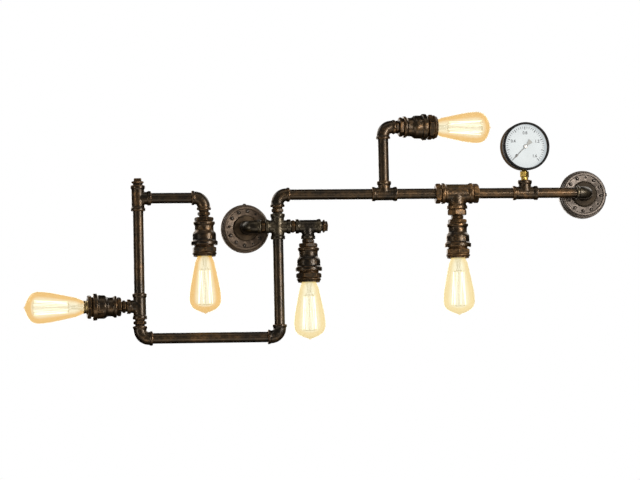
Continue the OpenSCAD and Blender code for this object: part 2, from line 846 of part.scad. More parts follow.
// Canopy with a stepped rim and a lipped face, local +Z away from the wall
module canopy(k) {
    step = face_inset / 3;
    rim_z = canopy_depth * 0.4;
    shoulder_z = canopy_depth * 0.68;
    ease = 0.8;
    color(bronze)
        at_canopy(k)
            difference() {
                rotate_extrude()
                    polygon([
                        [0, 0],
                        [canopy_r, 0],
                        [canopy_r, rim_z - ease],
                        [canopy_r - ease, rim_z],
                        [canopy_r - step - step_groove, rim_z],
                        [canopy_r - step - step_groove, rim_z + groove_w],
                        [canopy_r - step, rim_z + groove_w],
                        [canopy_r - step, shoulder_z - ease],
                        [canopy_r - step - ease, shoulder_z],
                        [face_r + step - step_groove, shoulder_z],
                        [face_r + step - step_groove, shoulder_z + groove_w],
                        [face_r + step, shoulder_z + groove_w],
                        [face_r + step, canopy_depth - step],
                        [face_r, canopy_depth],
                        [face_r - lip_w, canopy_depth],
                        [face_r - lip_w - face_drop, face_z],
                        [hub_d / 2, face_z],
                        [hub_d / 2 - 1, face_z + hub_rise - 1],
                        [hub_d / 2 - 2, hub_z],
                        [0, hub_z]
                    ]);
                translate([0, 0, -1]) cylinder(r = canopy_in_r, h = ceiling_z + 1);
                cylinder(r = socket_r, h = hub_z + 1);
                for (j = [0 : rivet_places - 1])
                    at_rivet(j) translate([0, 0, -face_z]) cylinder(d = rivet_shank + 0.1, h = 2 * face_z);
                rotate(canopies[k][2])
                    translate([0, 0, tab_h / 2])
                        rotate([0, 90, 0]) cylinder(d = side_screw + 0.1, h = canopy_r + 1);
            }
}

module at_rivet(j) {
    rotate(j * 360 / rivet_places + rivet_turn) translate([rivet_circle / 2, 0, face_z]) children();
}

// Dome-headed rivets; every fourth place holds a small one
module canopy_rivets() {
    color(dark_bronze)
        for (k = [0, 1], j = [0 : rivet_places - 1])
            at_canopy(k) rotate(canopies[k][2]) at_rivet(j) {
                head = j % 4 == 2 ? small_rivet_d : rivet_d;
                rotate_extrude()
                    polygon([
                        [0, -canopy_wall],
                        [rivet_shank / 2, -canopy_wall],
                        [rivet_shank / 2, 0],
                        [head / 2, 0],
                        [head / 2 * 0.92, head * 0.14],
                        [head / 2 * 0.7, head * 0.25],
                        [head / 2 * 0.38, head * 0.32],
                        [0, head * 0.34]
                    ]);
            }
}

// Strap against the wall, its bent tab along local +X before it is turned
module wall_brackets() {
    tab_x = canopy_in_r - seat_play;
    color(steel)
        for (k = [0, 1])
            at_canopy(k)
                rotate(canopies[k][2])
                    difference() {
                        union() {
                            translate([-strap_len / 2, -strap_w / 2, 0])
                                cube([strap_len / 2 + tab_x - 2, strap_w, strap_t]);
                            intersection() {
                                translate([tab_x - strap_t - 2, -strap_w / 2, 0])
                                    cube([strap_t + 3, strap_w, tab_h]);
                                cylinder(r = tab_x, h = tab_h);
                            }
                        }
                        for (x = [-screw_spacing / 2, screw_spacing / 2])
                            translate([x, 0, -1]) cylinder(d = screw_hole, h = strap_t + 2);
                        translate([0, 0, tab_h / 2])
                            rotate([0, 90, 0]) cylinder(d = side_screw + 0.1, h = canopy_r);
                    }
}

module canopy_screws() {
    color(dark_bronze)
        for (k = [0, 1])
            at_canopy(k)
                rotate(canopies[k][2])
                    translate([0, 0, tab_h / 2])
                        rotate([0, 90, 0]) {
                            translate([0, 0, canopy_in_r - strap_t - 3])
                                cylinder(d = side_screw, h = canopy_r - canopy_in_r + strap_t + 3);
                            translate([0, 0, canopy_r])
                                rotate_extrude()
                                    polygon([
                                        [0, 0],
                                        [side_head_d / 2, 0],
                                        [side_head_d / 2, side_head_h * 0.5],
                                        [side_head_d / 2 * 0.7, side_head_h],
                                        [0, side_head_h]
                                    ]);
                        }
}

// Short pipe from inside the canopy to the wall elbow
module canopy_nipples() {
    color(bronze)
        for (k = [0, 1])
            at_canopy(k)
                translate([0, 0, nipple_back])
                    tube(pipe_r, bore_r, wall_offset - elbow_reach + spigot_len - nipple_back);
}

module canopy_locknuts() {
    color(steel)
        for (k = [0, 1])
            at_canopy(k)
                translate([0, 0, ceiling_z - locknut_len])
                    difference() {
                        turned_hex(locknut_hex, locknut_len);
                        translate([0, 0, -1]) cylinder(r = socket_r, h = locknut_len + 2);
                    }
}

module terminal_block() {
    color(porcelain)
        at_canopy(0)
            difference() {
                translate([0, -terminal_drop, strap_t + terminal_size[2] / 2])
                    cube(terminal_size, center = true);
                for (x = [-1, 0, 1])
                    translate([x * terminal_size[0] * 0.3, -terminal_drop, strap_t + terminal_size[2] - 2])
                        cylinder(d = 3, h = 3);
            }
}

module wall_elbows() {
    color(bronze) {
        translate([0, plane_y, 0]) elbow();
        translate([right_x, plane_y, main_z]) rotate(90) elbow();
    }
}

module frame_elbows() {
    color(bronze) {
        translate([cross_x, plane_y, main_z]) rotate([-90, 0, 0]) elbow();
        translate([cross_x, plane_y, bottom_z]) rotate([90, 0, 180]) elbow();
        translate([left_x, plane_y, bottom_z]) rotate([90, 0, 0]) elbow();
    }
}

module pipe_cross() {
    run = [[0, 90, 0], [0, -90, 0]];
    rise = [[0, 0, 0], [180, 0, 0]];
    length = 2 * (tee_reach - socket_depth) + 2;
    color(bronze)
        translate([cross_x, plane_y, 0])
            difference() {
                union() {
                    for (a = rise)
                        rotate(a) fitting_arm(tee_reach, fitting_r, band_r, band_len);
                    for (a = run)
                        rotate(a) fitting_arm(tee_reach, branch_r, band_r, band_len);
                }
                for (a = concat(run, rise))
                    rotate(a) socket_cut(tee_reach, socket_r, socket_depth);
                cylinder(r = bore_r, h = length, center = true);
                rotate(run[0]) cylinder(r = bore_r - 0.3, h = length, center = true);
            }
}

module frame_nipples() {
    color(dark_bronze) {
        translate([elbow_reach, plane_y, 0]) rotate([0, 90, 0]) hex_nipple(short_gap, 10);
        translate([cross_x + tee_reach, plane_y, 0]) rotate([0, 90, 0]) hex_nipple(short_gap, 20);
        translate([cross_x, plane_y, tee_reach]) hex_nipple(long_gap, 15);
        translate([left_x, plane_y, bottom_z + elbow_reach]) hex_nipple(long_gap, 0);
    }
    lamp_nipple(0);
    lamp_nipple(3);
}

module left_post() {
    translate([left_x, plane_y, left_tee_z + tee_reach]) pipe(left_post_len);
}

module right_post() {
    translate([cross_x, plane_y, bottom_z + elbow_reach]) pipe(right_post_len);
}

module bottom_pipe() {
    translate([left_x + elbow_reach, plane_y, bottom_z]) rotate([0, 90, 0]) pipe(bottom_pipe_len);
}

module main_pipes() {
    starts = [
        cross_x + elbow_reach,
        riser_x + tee_reach,
        large_x + large_half,
        gauge_x + tee_reach
    ];
    for (k = [0 : 3])
        translate([starts[k], plane_y, main_z]) rotate([0, 90, 0]) pipe(main_pipe_lens[k]);
}

module frame_tees() {
    color(bronze) {
        translate([left_x, plane_y, left_tee_z]) rotate([90, 0, 0]) rotate(90) small_tee();
        for (x = [riser_x, gauge_x])
            translate([x, plane_y, main_z]) rotate([90, 0, 0]) small_tee();
    }
}

module large_tee() {
    body = bush_socket_r + large_wall;
    color(bronze)
        translate([large_x, plane_y, main_z])
            rotate([-90, 0, 0])
                tee(
                    large_reach,
                    body,
                    body - 0.3,
                    body + large_band_rise,
                    bush_socket_r,
                    socket_depth,
                    bush_r - 4
                );
}

module frame_bushes() {
    color(dark_bronze)
        translate([large_x, plane_y, main_z])
            for (a = [[0, 90, 0], [0, -90, 0], [180, 0, 0]])
                rotate(a)
                    translate([0, 0, large_half])
                        rotate([180, 0, 0]) hex_bush(large_hex, large_hex_len, 12);
    lamp_bush(0);
    lamp_bush(3);
}

module fixed_lamp_bells() {
    lamp_bell(0);
    lamp_bell(3);
}

module fixed_lamp_mouths() {
    lamp_mouth(0);
    lamp_mouth(3);
}

module fixed_lamp_sockets() {
    lamp_socket(0);
    lamp_socket(3);
}

module left_arm_tee() {
    color(bronze)
        translate([left_x, plane_y, arm_z]) rotate([90, 0, 0]) rotate(-90) small_tee();
}

module left_arm_plug() {
    translate([left_x, plane_y, arm_z + tee_reach]) square_plug(-8);
}

module left_arm_pipe() {
    translate([left_x + tee_reach, plane_y, arm_z]) rotate([0, 90, 0]) pipe(left_arm_len);
}

module left_lamp_elbow() {
    color(bronze)
        translate([arm_elbow_x, plane_y, arm_z]) rotate([-90, 0, 180]) elbow();
}

module riser_pipe() {
    translate([riser_x, plane_y, main_z + tee_reach]) pipe(riser_len);
}

module upper_arm_elbow() {
    color(bronze)
        translate([riser_x, plane_y, upper_z]) rotate([-90, 0, upper_arm_turn]) elbow();
}

module stub_tee() {
    color(bronze)
        translate([stub_x, plane_y, 0]) rotate([-90, 0, 0]) small_tee();
}

module stub_plug() {
    translate([stub_x + tee_reach, plane_y, 0]) rotate([0, 90, 0]) square_plug(35);
}

// Local frame at the back of the gauge's case, +Z towards the viewer
module at_gauge() {
    translate([gauge_x, plane_y, gauge_z])
        rotate(gauge_turn)
            translate([0, stem_depth, 0])
                rotate([90, 0, 0]) children();
}

// Brass stem: spigot in the tee, neck, square seen on its corner, and the block inside the case
module gauge_stem() {
    square_at = tee_reach + stem_neck_len;
    case_at = gauge_rise - case_r;
    block = stem_entry_d;
    color(brass)
        translate([gauge_x, plane_y, main_z]) rotate(gauge_turn) {
            translate([0, 0, tee_reach - spigot_len]) cylinder(r = pipe_r, h = spigot_len);
            translate([0, 0, tee_reach - eps]) cylinder(d = stem_neck_d, h = stem_neck_len + 2 * eps);
            translate([0, 0, square_at])
                rotate(45)
                    translate([-stem_square / 2, -stem_square / 2, 0])
                        cube([stem_square, stem_square, case_at - square_at - 1.8]);
            translate([0, 0, case_at - 4]) cylinder(d = stem_entry_d, h = 8);
            translate([-block / 2, -block / 2, case_at + 3])
                cube([block, block, stem_top - case_at - 3]);
        }
}

module gauge_case() {
    edge = 2;
    color([0.09, 0.09, 0.09])
        at_gauge()
            difference() {
                rotate_extrude()
                    polygon([
                        [0, 0],
                        [case_r - edge, 0],
                        [case_r, edge],
                        [case_r, case_depth],
                        [0, case_depth]
                    ]);
                translate([0, 0, case_wall]) cylinder(r = case_in_r, h = case_depth);
                translate([0, 0, stem_depth])
                    rotate([90, 0, 0]) cylinder(d = stem_entry_d + 2 * thread_play, h = case_r + 1);
            }
}

module gauge_bezel() {
    back_z = lip_z + bezel_lip_t - bezel_len;
    front_z = lip_z + bezel_lip_t;
    lip_in_r = bezel_in_r - bezel_lip;
    color([0.06, 0.06, 0.06])
        at_gauge()
            rotate_extrude()
                polygon([
                    [bezel_in_r, back_z],
                    [bezel_r, back_z],
                    [bezel_r, front_z - 0.8],
                    [bezel_r - 0.8, front_z],
                    [lip_in_r + 0.6, front_z],
                    [lip_in_r, front_z - 0.6],
                    [lip_in_r, lip_z],
                    [bezel_in_r, lip_z]
                ]);
}

module gauge_glass() {
    color(clear)
        at_gauge() translate([0, 0, pane_z]) cylinder(r = case_r - thread_play, h = pane_t);
}

module gauge_dial() {
    color([0.93, 0.95, 0.97])
        at_gauge()
            translate([0, 0, dial_z])
                difference() {
                    cylinder(r = dial_r, h = dial_t);
                    translate([0, 0, -1]) cylinder(r = arbor_d, h = dial_t + 2);
                }
}

// Plate with the arbor's bearing, two pillars for the dial, and the curved pressure tube
module gauge_movement() {
    sweep = 250;
    start = -90 + (360 - sweep) / 2 - 40;
    side = stem_entry_d / 2;
    tube_z = stem_depth;
    plate_back = movement_z;
    plate_foot = -movement_size[1] / 2;
    foot_x = tube_r * cos(start);
    foot_y = tube_r * sin(start);
    color(brass)
        at_gauge() {
            difference() {
                union() {
                    translate([-movement_size[0] / 2, plate_foot, plate_back])
                        cube(movement_size);
                    for (x = [-1, 1])
                        translate([x * movement_size[0] * 0.35, 0, plate_back + movement_size[2] - 1])
                            cylinder(r = 2, h = dial_z - plate_back - movement_size[2] + 1);
                }
                translate([0, 0, plate_back - 1])
                    cylinder(r = arbor_d / 2 + arbor_play, h = movement_size[2] + 2);
            }
            rotate(start)
                translate([0, 0, tube_z])
                    rotate_extrude(angle = sweep) translate([tube_r, 0]) circle(d = tube_d);
            translate([side, foot_y - tube_d * 0.45, tube_z - tube_d * 0.45])
                cube([foot_x - side + tube_d * 0.3, tube_d * 0.9, tube_d * 0.9]);
        }
}

// Pointer at rest on zero, with its tail and its arbor
module gauge_pointer() {
    tip_w = 0.8;
    tail_w = 9;
    hub_r = 4.2;
    color([0.25, 0.26, 0.28])
        at_gauge() {
            translate([0, 0, pointer_z])
                linear_extrude(pointer_t)
                    union() {
                        circle(r = hub_r);
                        rotate(pointer_rest)
                            polygon([
                                [-pointer_tail, -tail_w / 2],
                                [0, -pointer_w / 2],
                                [pointer_len, -tip_w / 2],
                                [pointer_len, tip_w / 2],
                                [0, pointer_w / 2],
                                [-pointer_tail, tail_w / 2]
                            ]);
                    }
            translate([0, 0, movement_z]) cylinder(d = arbor_d, h = pointer_z - movement_z + pointer_t + 1);
            translate([0, 0, pointer_z + pointer_t - eps]) cylinder(r = 2.4, h = 1.2);
        }
}

wall_brackets();
canopy(0);  // left_canopy
canopy(1);  // right_canopy
canopy_rivets();
canopy_screws();
canopy_nipples();
canopy_locknuts();
terminal_block();
wall_elbows();
frame_elbows();
pipe_cross();
frame_nipples();
left_post();
right_post();
bottom_pipe();
main_pipes();
frame_tees();
large_tee();
frame_bushes();
fixed_lamp_bells();
fixed_lamp_mouths();
fixed_lamp_sockets();
left_arm_tee();
left_arm_plug();
left_arm_pipe();
left_lamp_elbow();
lamp_adapters(1);  // left_lamp_adapters
lamp_bell(1);  // left_lamp_bell
lamp_mouth(1);  // left_lamp_mouth
lamp_socket(1);  // left_lamp_socket
riser_pipe();
upper_arm_elbow();
lamp_adapters(4);  // upper_lamp_adapters
lamp_bell(4);  // upper_lamp_bell
lamp_mouth(4);  // upper_lamp_mouth
lamp_socket(4);  // upper_lamp_socket
stub_tee();
stub_plug();
lamp_adapters(2);  // stub_lamp_adapters
lamp_bell(2);  // stub_lamp_bell
lamp_mouth(2);  // stub_lamp_mouth
lamp_socket(2);  // stub_lamp_socket
gauge_stem();
gauge_case();
gauge_bezel();
gauge_glass();
gauge_dial();
gauge_movement();
gauge_pointer();
bulb_glass(0);  // bulb_1_glass
bulb_glass(1);  // bulb_2_glass
bulb_glass(2);  // bulb_3_glass
bulb_glass(3);  // bulb_4_glass
bulb_glass(4);  // bulb_5_glass
bulb_base(0);  // bulb_1_base
bulb_base(1);  // bulb_2_base
bulb_base(2);  // bulb_3_base
bulb_base(3);  // bulb_4_base
bulb_base(4);  // bulb_5_base
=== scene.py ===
"""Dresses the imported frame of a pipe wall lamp: cast fittings, canopies, lit bulbs and a dial gauge."""

import json
import math

import bpy
from bpy.props import FloatProperty, FloatVectorProperty, IntProperty, PointerProperty
from mathutils import Matrix, Vector


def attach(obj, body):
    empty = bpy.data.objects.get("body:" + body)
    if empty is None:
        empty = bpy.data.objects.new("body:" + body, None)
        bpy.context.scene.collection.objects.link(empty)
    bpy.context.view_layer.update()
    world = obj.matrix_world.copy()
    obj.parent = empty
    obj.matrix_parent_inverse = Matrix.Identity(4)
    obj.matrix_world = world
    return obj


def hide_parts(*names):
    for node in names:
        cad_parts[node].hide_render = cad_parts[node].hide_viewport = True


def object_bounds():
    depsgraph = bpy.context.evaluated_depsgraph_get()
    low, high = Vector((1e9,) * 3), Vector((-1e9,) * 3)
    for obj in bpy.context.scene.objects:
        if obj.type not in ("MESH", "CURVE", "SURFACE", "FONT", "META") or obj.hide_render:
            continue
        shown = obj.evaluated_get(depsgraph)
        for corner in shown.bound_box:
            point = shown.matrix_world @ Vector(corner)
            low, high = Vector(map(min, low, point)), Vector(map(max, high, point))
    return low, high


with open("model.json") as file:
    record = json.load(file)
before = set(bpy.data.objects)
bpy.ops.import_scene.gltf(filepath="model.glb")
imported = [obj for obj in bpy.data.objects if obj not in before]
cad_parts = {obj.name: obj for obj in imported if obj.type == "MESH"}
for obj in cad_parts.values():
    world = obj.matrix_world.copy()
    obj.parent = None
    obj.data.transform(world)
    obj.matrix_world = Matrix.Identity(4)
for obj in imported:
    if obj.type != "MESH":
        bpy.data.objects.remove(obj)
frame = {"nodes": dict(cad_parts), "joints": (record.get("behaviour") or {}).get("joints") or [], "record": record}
CAD_BOX = [list(corner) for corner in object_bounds()]

bl_info = {
    "name": "Pipe Wall Lamp",
    "version": (1, 0, 0),
    "blender": (4, 5, 0),
    "location": "View3D > Sidebar > Pipe Lamp",
    "description": "Models the visible pieces of a pipe wall lamp around its CAD frame",
    "category": "Object",
}

MM = 0.001
UP = Vector((0, 0, 1))
FULL_TURN = 2 * math.pi
QUARTER_TURN = math.pi / 2
PHOTO_WIDTH = 640
PHOTO_HEIGHT = 480
SENSOR_WIDTH = 36.0

# Points of a drawn mesh that lie closer than this are merged, in metres
SAME_POINT = 1e-6

# Distance from the end of a lamp's bell to the start of its bulb's glass, in millimetres
GLASS_START = 18.5

# Body that each lamp's holder rides on
HOLDER_BODY = {1: "frame", 2: "left_lamp", 3: "stub_lamp", 4: "frame", 5: "upper_arm"}
LAMPS = sorted(HOLDER_BODY)

# How much lighter the finish is made from the lamp's left end to its right end
LIGHTER_ALONG = [(0.0, 0.3), (0.2, 0.35), (0.42, 0.05), (0.55, 0.25), (0.72, 0.8), (1.0, 0.5)]

# Black that gathers in the recesses of worn bronze, also standing in as painted shade in those hollows
GRIME_AND_PAINTED_SHADE = (0.008, 0.007, 0.006)

# Colours of the glass where the filament shines through it, and at its outline
LIT_CREAM = (0.96, 0.88, 0.54)
RIM_OLIVE = (0.50, 0.37, 0.16)

# Bulbs whose glass is paler, and the turn in degrees from one bulb's cage to the next one's
PALE_BULBS = (3, 4)
CAGE_TURN = 37

# Strands of a bulb's filament, with the radius and height of the hooks at its two ends in millimetres
STRANDS = 14
NEAR_HOOK = (11.0, 50.0)
FAR_HOOK = (14.5, 117.0)

# Canopy in millimetres: its radius, the hole in its face, and the face's two sides above the wall
CANOPY_RADIUS = 49.0
CANOPY_HOLE = 26.6
FACE_LEVEL = 24.5
FACE_UNDERSIDE = 21.5

# Rivets round a canopy: their ring, heads and stems in millimetres, and the places of the small ones
RIVET_PLACES = 12
RIVET_TURN = 24
RIVET_RING = 34.5
RIVET_HEADS = {"large": 6.4, "small": 3.6}
RIVET_STEM = 1.2
SMALL_RIVETS = (2, 6, 10)

# Height of a canopy's side screw above the wall in millimetres
SCREW_LEVEL = 6.5

# Dial: angle of zero and sweep to full scale seen from the front, its numbers and its steps
DIAL_ZERO = 225.0
DIAL_SWEEP = 270.0
DIAL_NUMBERS = ("0", "0.4", "0.8", "1.2", "1.6")
DIAL_STEPS = 40

# Print of the dial in millimetres: outer end of the ticks, ring and size of the numbers, depth of ink
TICK_END = 40.5
NUMBER_RING = 27.5
NUMBER_SIZE = 8.4
INK_DEPTH = 0.06


class CastSettings(bpy.types.PropertyGroup):
    """Softening of the cast and forged fittings."""

    body_voxel: FloatProperty(
        name="Body voxel",
        description="Mesh size of elbows, tees and bells",
        default=1.0 * MM,
        unit="LENGTH",
    )
    hex_voxel: FloatProperty(
        name="Hex voxel",
        description="Mesh size of nipples, bushes, collars and plugs",
        default=0.75 * MM,
        unit="LENGTH",
    )
    ring_voxel: FloatProperty(
        name="Ring voxel",
        description="Mesh size of the serrated mouth rings and their collars",
        default=0.6 * MM,
        unit="LENGTH",
    )
    stem_voxel: FloatProperty(
        name="Stem voxel",
        description="Mesh size of the gauge's brass stem",
        default=0.5 * MM,
        unit="LENGTH",
    )
    body_rounds: IntProperty(
        name="Body rounds",
        description="Smoothing passes that give the cast fillets",
        default=5,
    )
    hex_rounds: IntProperty(
        name="Hex rounds",
        description="Smoothing passes that break the forged edges",
        default=3,
    )
    ring_rounds: IntProperty(
        name="Ring rounds",
        description="Smoothing passes that ease the serrations",
        default=1,
    )
    stem_rounds: IntProperty(
        name="Stem rounds",
        description="Smoothing passes that ease the brass stem's edges",
        default=2,
    )
    thread_pitch: FloatProperty(
        name="Thread pitch",
        description="Distance between two turns of pipe thread",
        default=1.8 * MM,
        unit="LENGTH",
    )
    thread_depth: FloatProperty(
        name="Thread depth",
        description="Rise of the pipe thread above its root",
        default=0.75 * MM,
        unit="LENGTH",
    )


class FinishSettings(bpy.types.PropertyGroup):
    """Colours of the lamp's finishes."""

    dark: FloatVectorProperty(
        name="Dark bronze",
        description="Deep tone of the aged finish",
        subtype="COLOR",
        default=(0.0085, 0.0064, 0.0042),
    )
    bronze: FloatVectorProperty(
        name="Bronze",
        description="Middle tone of the aged finish",
        subtype="COLOR",
        default=(0.038, 0.0235, 0.0105),
    )
    copper: FloatVectorProperty(
        name="Copper",
        description="Bright tone where the finish is rubbed through",
        subtype="COLOR",
        default=(0.205, 0.113, 0.046),
    )
    grey: FloatVectorProperty(
        name="Grey bronze",
        description="Middle tone of the castings that are greyer than the rest",
        subtype="COLOR",
        default=(0.042, 0.034, 0.021),
    )
    olive: FloatVectorProperty(
        name="Olive",
        description="Middle tone of the right canopy's hub and deep tone of the left one's",
        subtype="COLOR",
        default=(0.022, 0.016, 0.010),
    )
    canopy: FloatVectorProperty(
        name="Canopy bronze",
        description="Middle tone of the right canopy",
        subtype="COLOR",
        default=(0.084, 0.072, 0.064),
    )
    brown_canopy: FloatVectorProperty(
        name="Brown canopy",
        description="Middle tone of the left canopy, which is browner",
        subtype="COLOR",
        default=(0.128, 0.096, 0.072),
    )
    pale_amber: FloatVectorProperty(
        name="Pale amber",
        description="Tint of the paler bulbs' glass",
        subtype="COLOR",
        default=(0.86, 0.67, 0.27),
    )
    glass_amber: FloatVectorProperty(
        name="Amber",
        description="Tint of the bulbs' glass",
        subtype="COLOR",
        default=(0.80, 0.45, 0.06),
    )
    filament_glow: FloatProperty(
        name="Filament glow",
        description="Brightness of the lit filament",
        default=3.4,
    )


class StageSettings(bpy.types.PropertyGroup):
    """Camera that matches the photograph."""

    azimuth: FloatProperty(
        name="Azimuth",
        description="Camera's turn round the lamp, negative to the left",
        subtype="ANGLE",
        default=math.radians(-8.25),
    )
    elevation: FloatProperty(
        name="Elevation",
        description="Camera's height above the horizon",
        subtype="ANGLE",
        default=math.radians(-4.5),
    )
    roll: FloatProperty(
        name="Roll",
        description="Camera's turn about its own axis",
        subtype="ANGLE",
        default=math.radians(-1.155),
    )
    distance: FloatProperty(
        name="Distance",
        description="Camera to the middle of the lamp",
        unit="LENGTH",
        default=7.255,
    )
    focal_px: FloatProperty(
        name="Focal length",
        description="Focal length in pixels of the photograph",
        default=3600.0,
    )
    centre_px: FloatVectorProperty(
        name="Centre",
        description="Pixel of the photograph that the target point falls on",
        size=2,
        default=(306.78, 226.93),
    )


def deselect():
    """Leaves edit mode and drops every selection, because operators act on all that is selected."""
    if bpy.context.object and bpy.context.object.mode != "OBJECT":
        bpy.ops.object.mode_set(mode="OBJECT")
    bpy.ops.object.select_all(action="DESELECT")


def pick(*objs):
    """Selects the objects and makes the first one active."""
    deselect()
    for obj in objs:
        obj.select_set(True)
    bpy.context.view_layer.objects.active = objs[0]


def edit_all(obj):
    """Opens the object in edit mode with all of its mesh selected."""
    pick(obj)
    bpy.ops.object.mode_set(mode="EDIT")
    bpy.ops.mesh.select_all(action="SELECT")


def end_edit():
    bpy.ops.object.mode_set(mode="OBJECT")


def face_outwards():
    """Turns the selected faces outwards and leaves edit mode."""
    bpy.ops.mesh.normals_make_consistent(inside=False)
    end_edit()


def discard(*objs):
    for obj in objs:
        bpy.data.objects.remove(obj)


def apply_modifier(obj, kind, **values):
    pick(obj)
    modifier = obj.modifiers.new(kind.title(), kind)
    for name, value in values.items():
        setattr(modifier, name, value)
    bpy.ops.object.modifier_apply(modifier=modifier.name)


def bake_place(obj):
    """Moves the object's own place into its mesh, so that it sits at the origin."""
    pick(obj)
    bpy.ops.object.transform_apply(location=True, rotation=True, scale=True)


def place(obj, matrix):
    obj.matrix_world = matrix
    bake_place(obj)
    return obj


def rename(obj, name):
    obj.name = name
    obj.data.name = name
    return obj


def duplicate(obj, name, matrix=None):
    """A copy with a mesh of its own, moved by the matrix."""
    twin = obj.copy()
    twin.data = obj.data.copy()
    twin.name = name
    bpy.context.collection.objects.link(twin)
    if matrix is not None:
        place(twin, matrix)
    return twin


def join(name, objs):
    """Joins the objects into the first one."""
    pick(*objs)
    if len(objs) > 1:
        bpy.ops.object.join()
    return rename(objs[0], name)


def smooth(obj, angle=35.0):
    """Shades the object smooth, apart from edges sharper than the angle in degrees."""
    pick(obj)
    bpy.ops.object.shade_smooth_by_angle(angle=math.radians(angle))


def smooth_all_over(obj):
    pick(obj)
    bpy.ops.object.shade_smooth()


def cut(obj, cutter):
    """Cuts the cutter's shape out of the object and discards the cutter."""
    apply_modifier(obj, "BOOLEAN", operation="DIFFERENCE", object=cutter, solver="EXACT")
    discard(cutter)
    smooth(obj)


def coat(mesh, look):
    """Gives a mesh one material, by name."""
    mesh.materials.clear()
    mesh.materials.append(bpy.data.materials[look])


def finish_piece(obj, look, body, slot, *nodes):
    """Gives a piece its material, the body it rides on, and the CAD nodes that it stands for."""
    coat(obj.data, look)
    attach(obj, body)
    if nodes:
        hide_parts(*nodes)


def draw_path(name, points):
    """Draws a line as by hand, one vertex extruded from point to point, and stays in edit mode."""
    deselect()
    bpy.ops.mesh.primitive_plane_add(size=MM)
    obj = rename(bpy.context.object, name)
    bpy.ops.object.mode_set(mode="EDIT")
    bpy.ops.mesh.select_mode(type="VERT")
    bpy.ops.mesh.select_all(action="SELECT")
    bpy.ops.mesh.merge(type="CENTER")
    here = Vector(points[0])
    bpy.ops.transform.translate(value=here)
    for point in points[1:]:
        there = Vector(point)
        bpy.ops.mesh.extrude_region_move(TRANSFORM_OT_translate={"value": there - here})
        here = there
    bpy.ops.mesh.select_all(action="SELECT")
    return obj


def draw_outline(name, outline, unit=MM):
    """Draws an outline of (radius, height) points in the plane of X and Z."""
    return draw_path(name, [(radius * unit, 0, height * unit) for radius, height in outline])


def turn(name, outline, steps=64, bevel=0.0, closed=False, unit=MM):
    """Turns an outline round Z on the lathe. A closed outline makes a ring; bevel breaks its edges."""
    obj = draw_outline(name, outline + ([outline[0]] if closed else []), unit)
    bpy.ops.mesh.spin(steps=steps, angle=FULL_TURN, center=(0, 0, 0), axis=(0, 0, 1))
    bpy.ops.mesh.select_all(action="SELECT")
    bpy.ops.mesh.remove_doubles(threshold=SAME_POINT)
    face_outwards()
    if bevel:
        sharp = math.radians(25)
        apply_modifier(obj, "BEVEL", width=bevel, segments=2, limit_method="ANGLE", angle_limit=sharp)
    smooth(obj)
    return obj


def curve_points(a, b, c, d, steps, first=0):
    """Points of a cubic curve through a and d with handles b and c, from its first wanted step on."""
    points = []
    for i in range(first, steps + 1):
        t = i / steps
        weights = ((1 - t) ** 3, 3 * (1 - t) ** 2 * t, 3 * (1 - t) * t * t, t**3)
        points.append(tuple(sum(w * p[k] for w, p in zip(weights, (a, b, c, d))) for k in (0, 1)))
    return points


def copy_node(node, name):
    """A merged copy of a CAD node's mesh, which is loose triangles."""
    piece = duplicate(frame["nodes"][node], name)
    edit_all(piece)
    bpy.ops.mesh.remove_doubles(threshold=2 * SAME_POINT)
    end_edit()
    return piece


def split_solids(obj):
    """Parts a group into its separate solids."""
    edit_all(obj)
    bpy.ops.mesh.separate(type="LOOSE")
    end_edit()
    return list(bpy.context.selected_objects)


def cast_copy(node, name, voxel, rounds):
    """A CAD fitting with soft cast edges: each of its solids is remeshed by itself, then smoothed."""
    solids = split_solids(copy_node(node, name))
    for solid in solids:
        apply_modifier(solid, "REMESH", mode="VOXEL", voxel_size=voxel, adaptivity=0.0)
        apply_modifier(solid, "SMOOTH", factor=0.5, iterations=rounds)
    piece = join(name, solids)
    smooth_all_over(piece)
    return piece


def depth_span(node, matrix):
    """Lowest and highest Z of a CAD node in the local frame that the matrix places, in millimetres."""
    inverse = matrix.inverted()
    depths = [(inverse @ v.co).z for v in frame["nodes"][node].data.vertices]
    return min(depths) / MM, max(depths) / MM


def joint(name):
    return next(j for j in frame["joints"] if j["name"] == name)


def turn_up_to(axis):
    """Matrix that turns Z to the axis."""
    return UP.rotation_difference(axis).to_matrix().to_4x4()


def lamp_place(number):
    """Frame at the end of a lamp's bell, with Z out along the lamp's axis."""
    axis = Vector(joint(f"bulb_{number}_out")["axis"]).normalized()
    side = axis.orthogonal().normalized()
    other = axis.cross(side)
    points = [v.co for v in frame["nodes"][f"bulb_{number}_glass"].data.vertices]
    start = min(p.dot(axis) for p in points)
    foot = axis * (start - GLASS_START * MM)
    for across in (side, other):
        reach = [p.dot(across) for p in points]
        foot += across * (min(reach) + max(reach)) / 2
    return Matrix.Translation(foot) @ turn_up_to(axis)


def wall_place(mount):
    """Frame on the wall at a canopy's centre, with Z away from the wall and Y up."""
    spot = next(m for m in frame["record"]["mounts"] if m["name"] == mount)["pos_m"]
    return Matrix.Translation(spot) @ Matrix.Rotation(QUARTER_TURN, 4, "X")


def gauge_place():
    """Frame at the gauge's centre, with X right, Y up and Z towards the viewer."""
    pivot = joint("pointer_turn")
    inwards = Vector(pivot["axis"]).normalized()
    right = inwards.cross(UP)
    turned = Matrix((right, UP, -inwards)).transposed().to_4x4()
    return Matrix.Translation(pivot["pos_m"]) @ turned


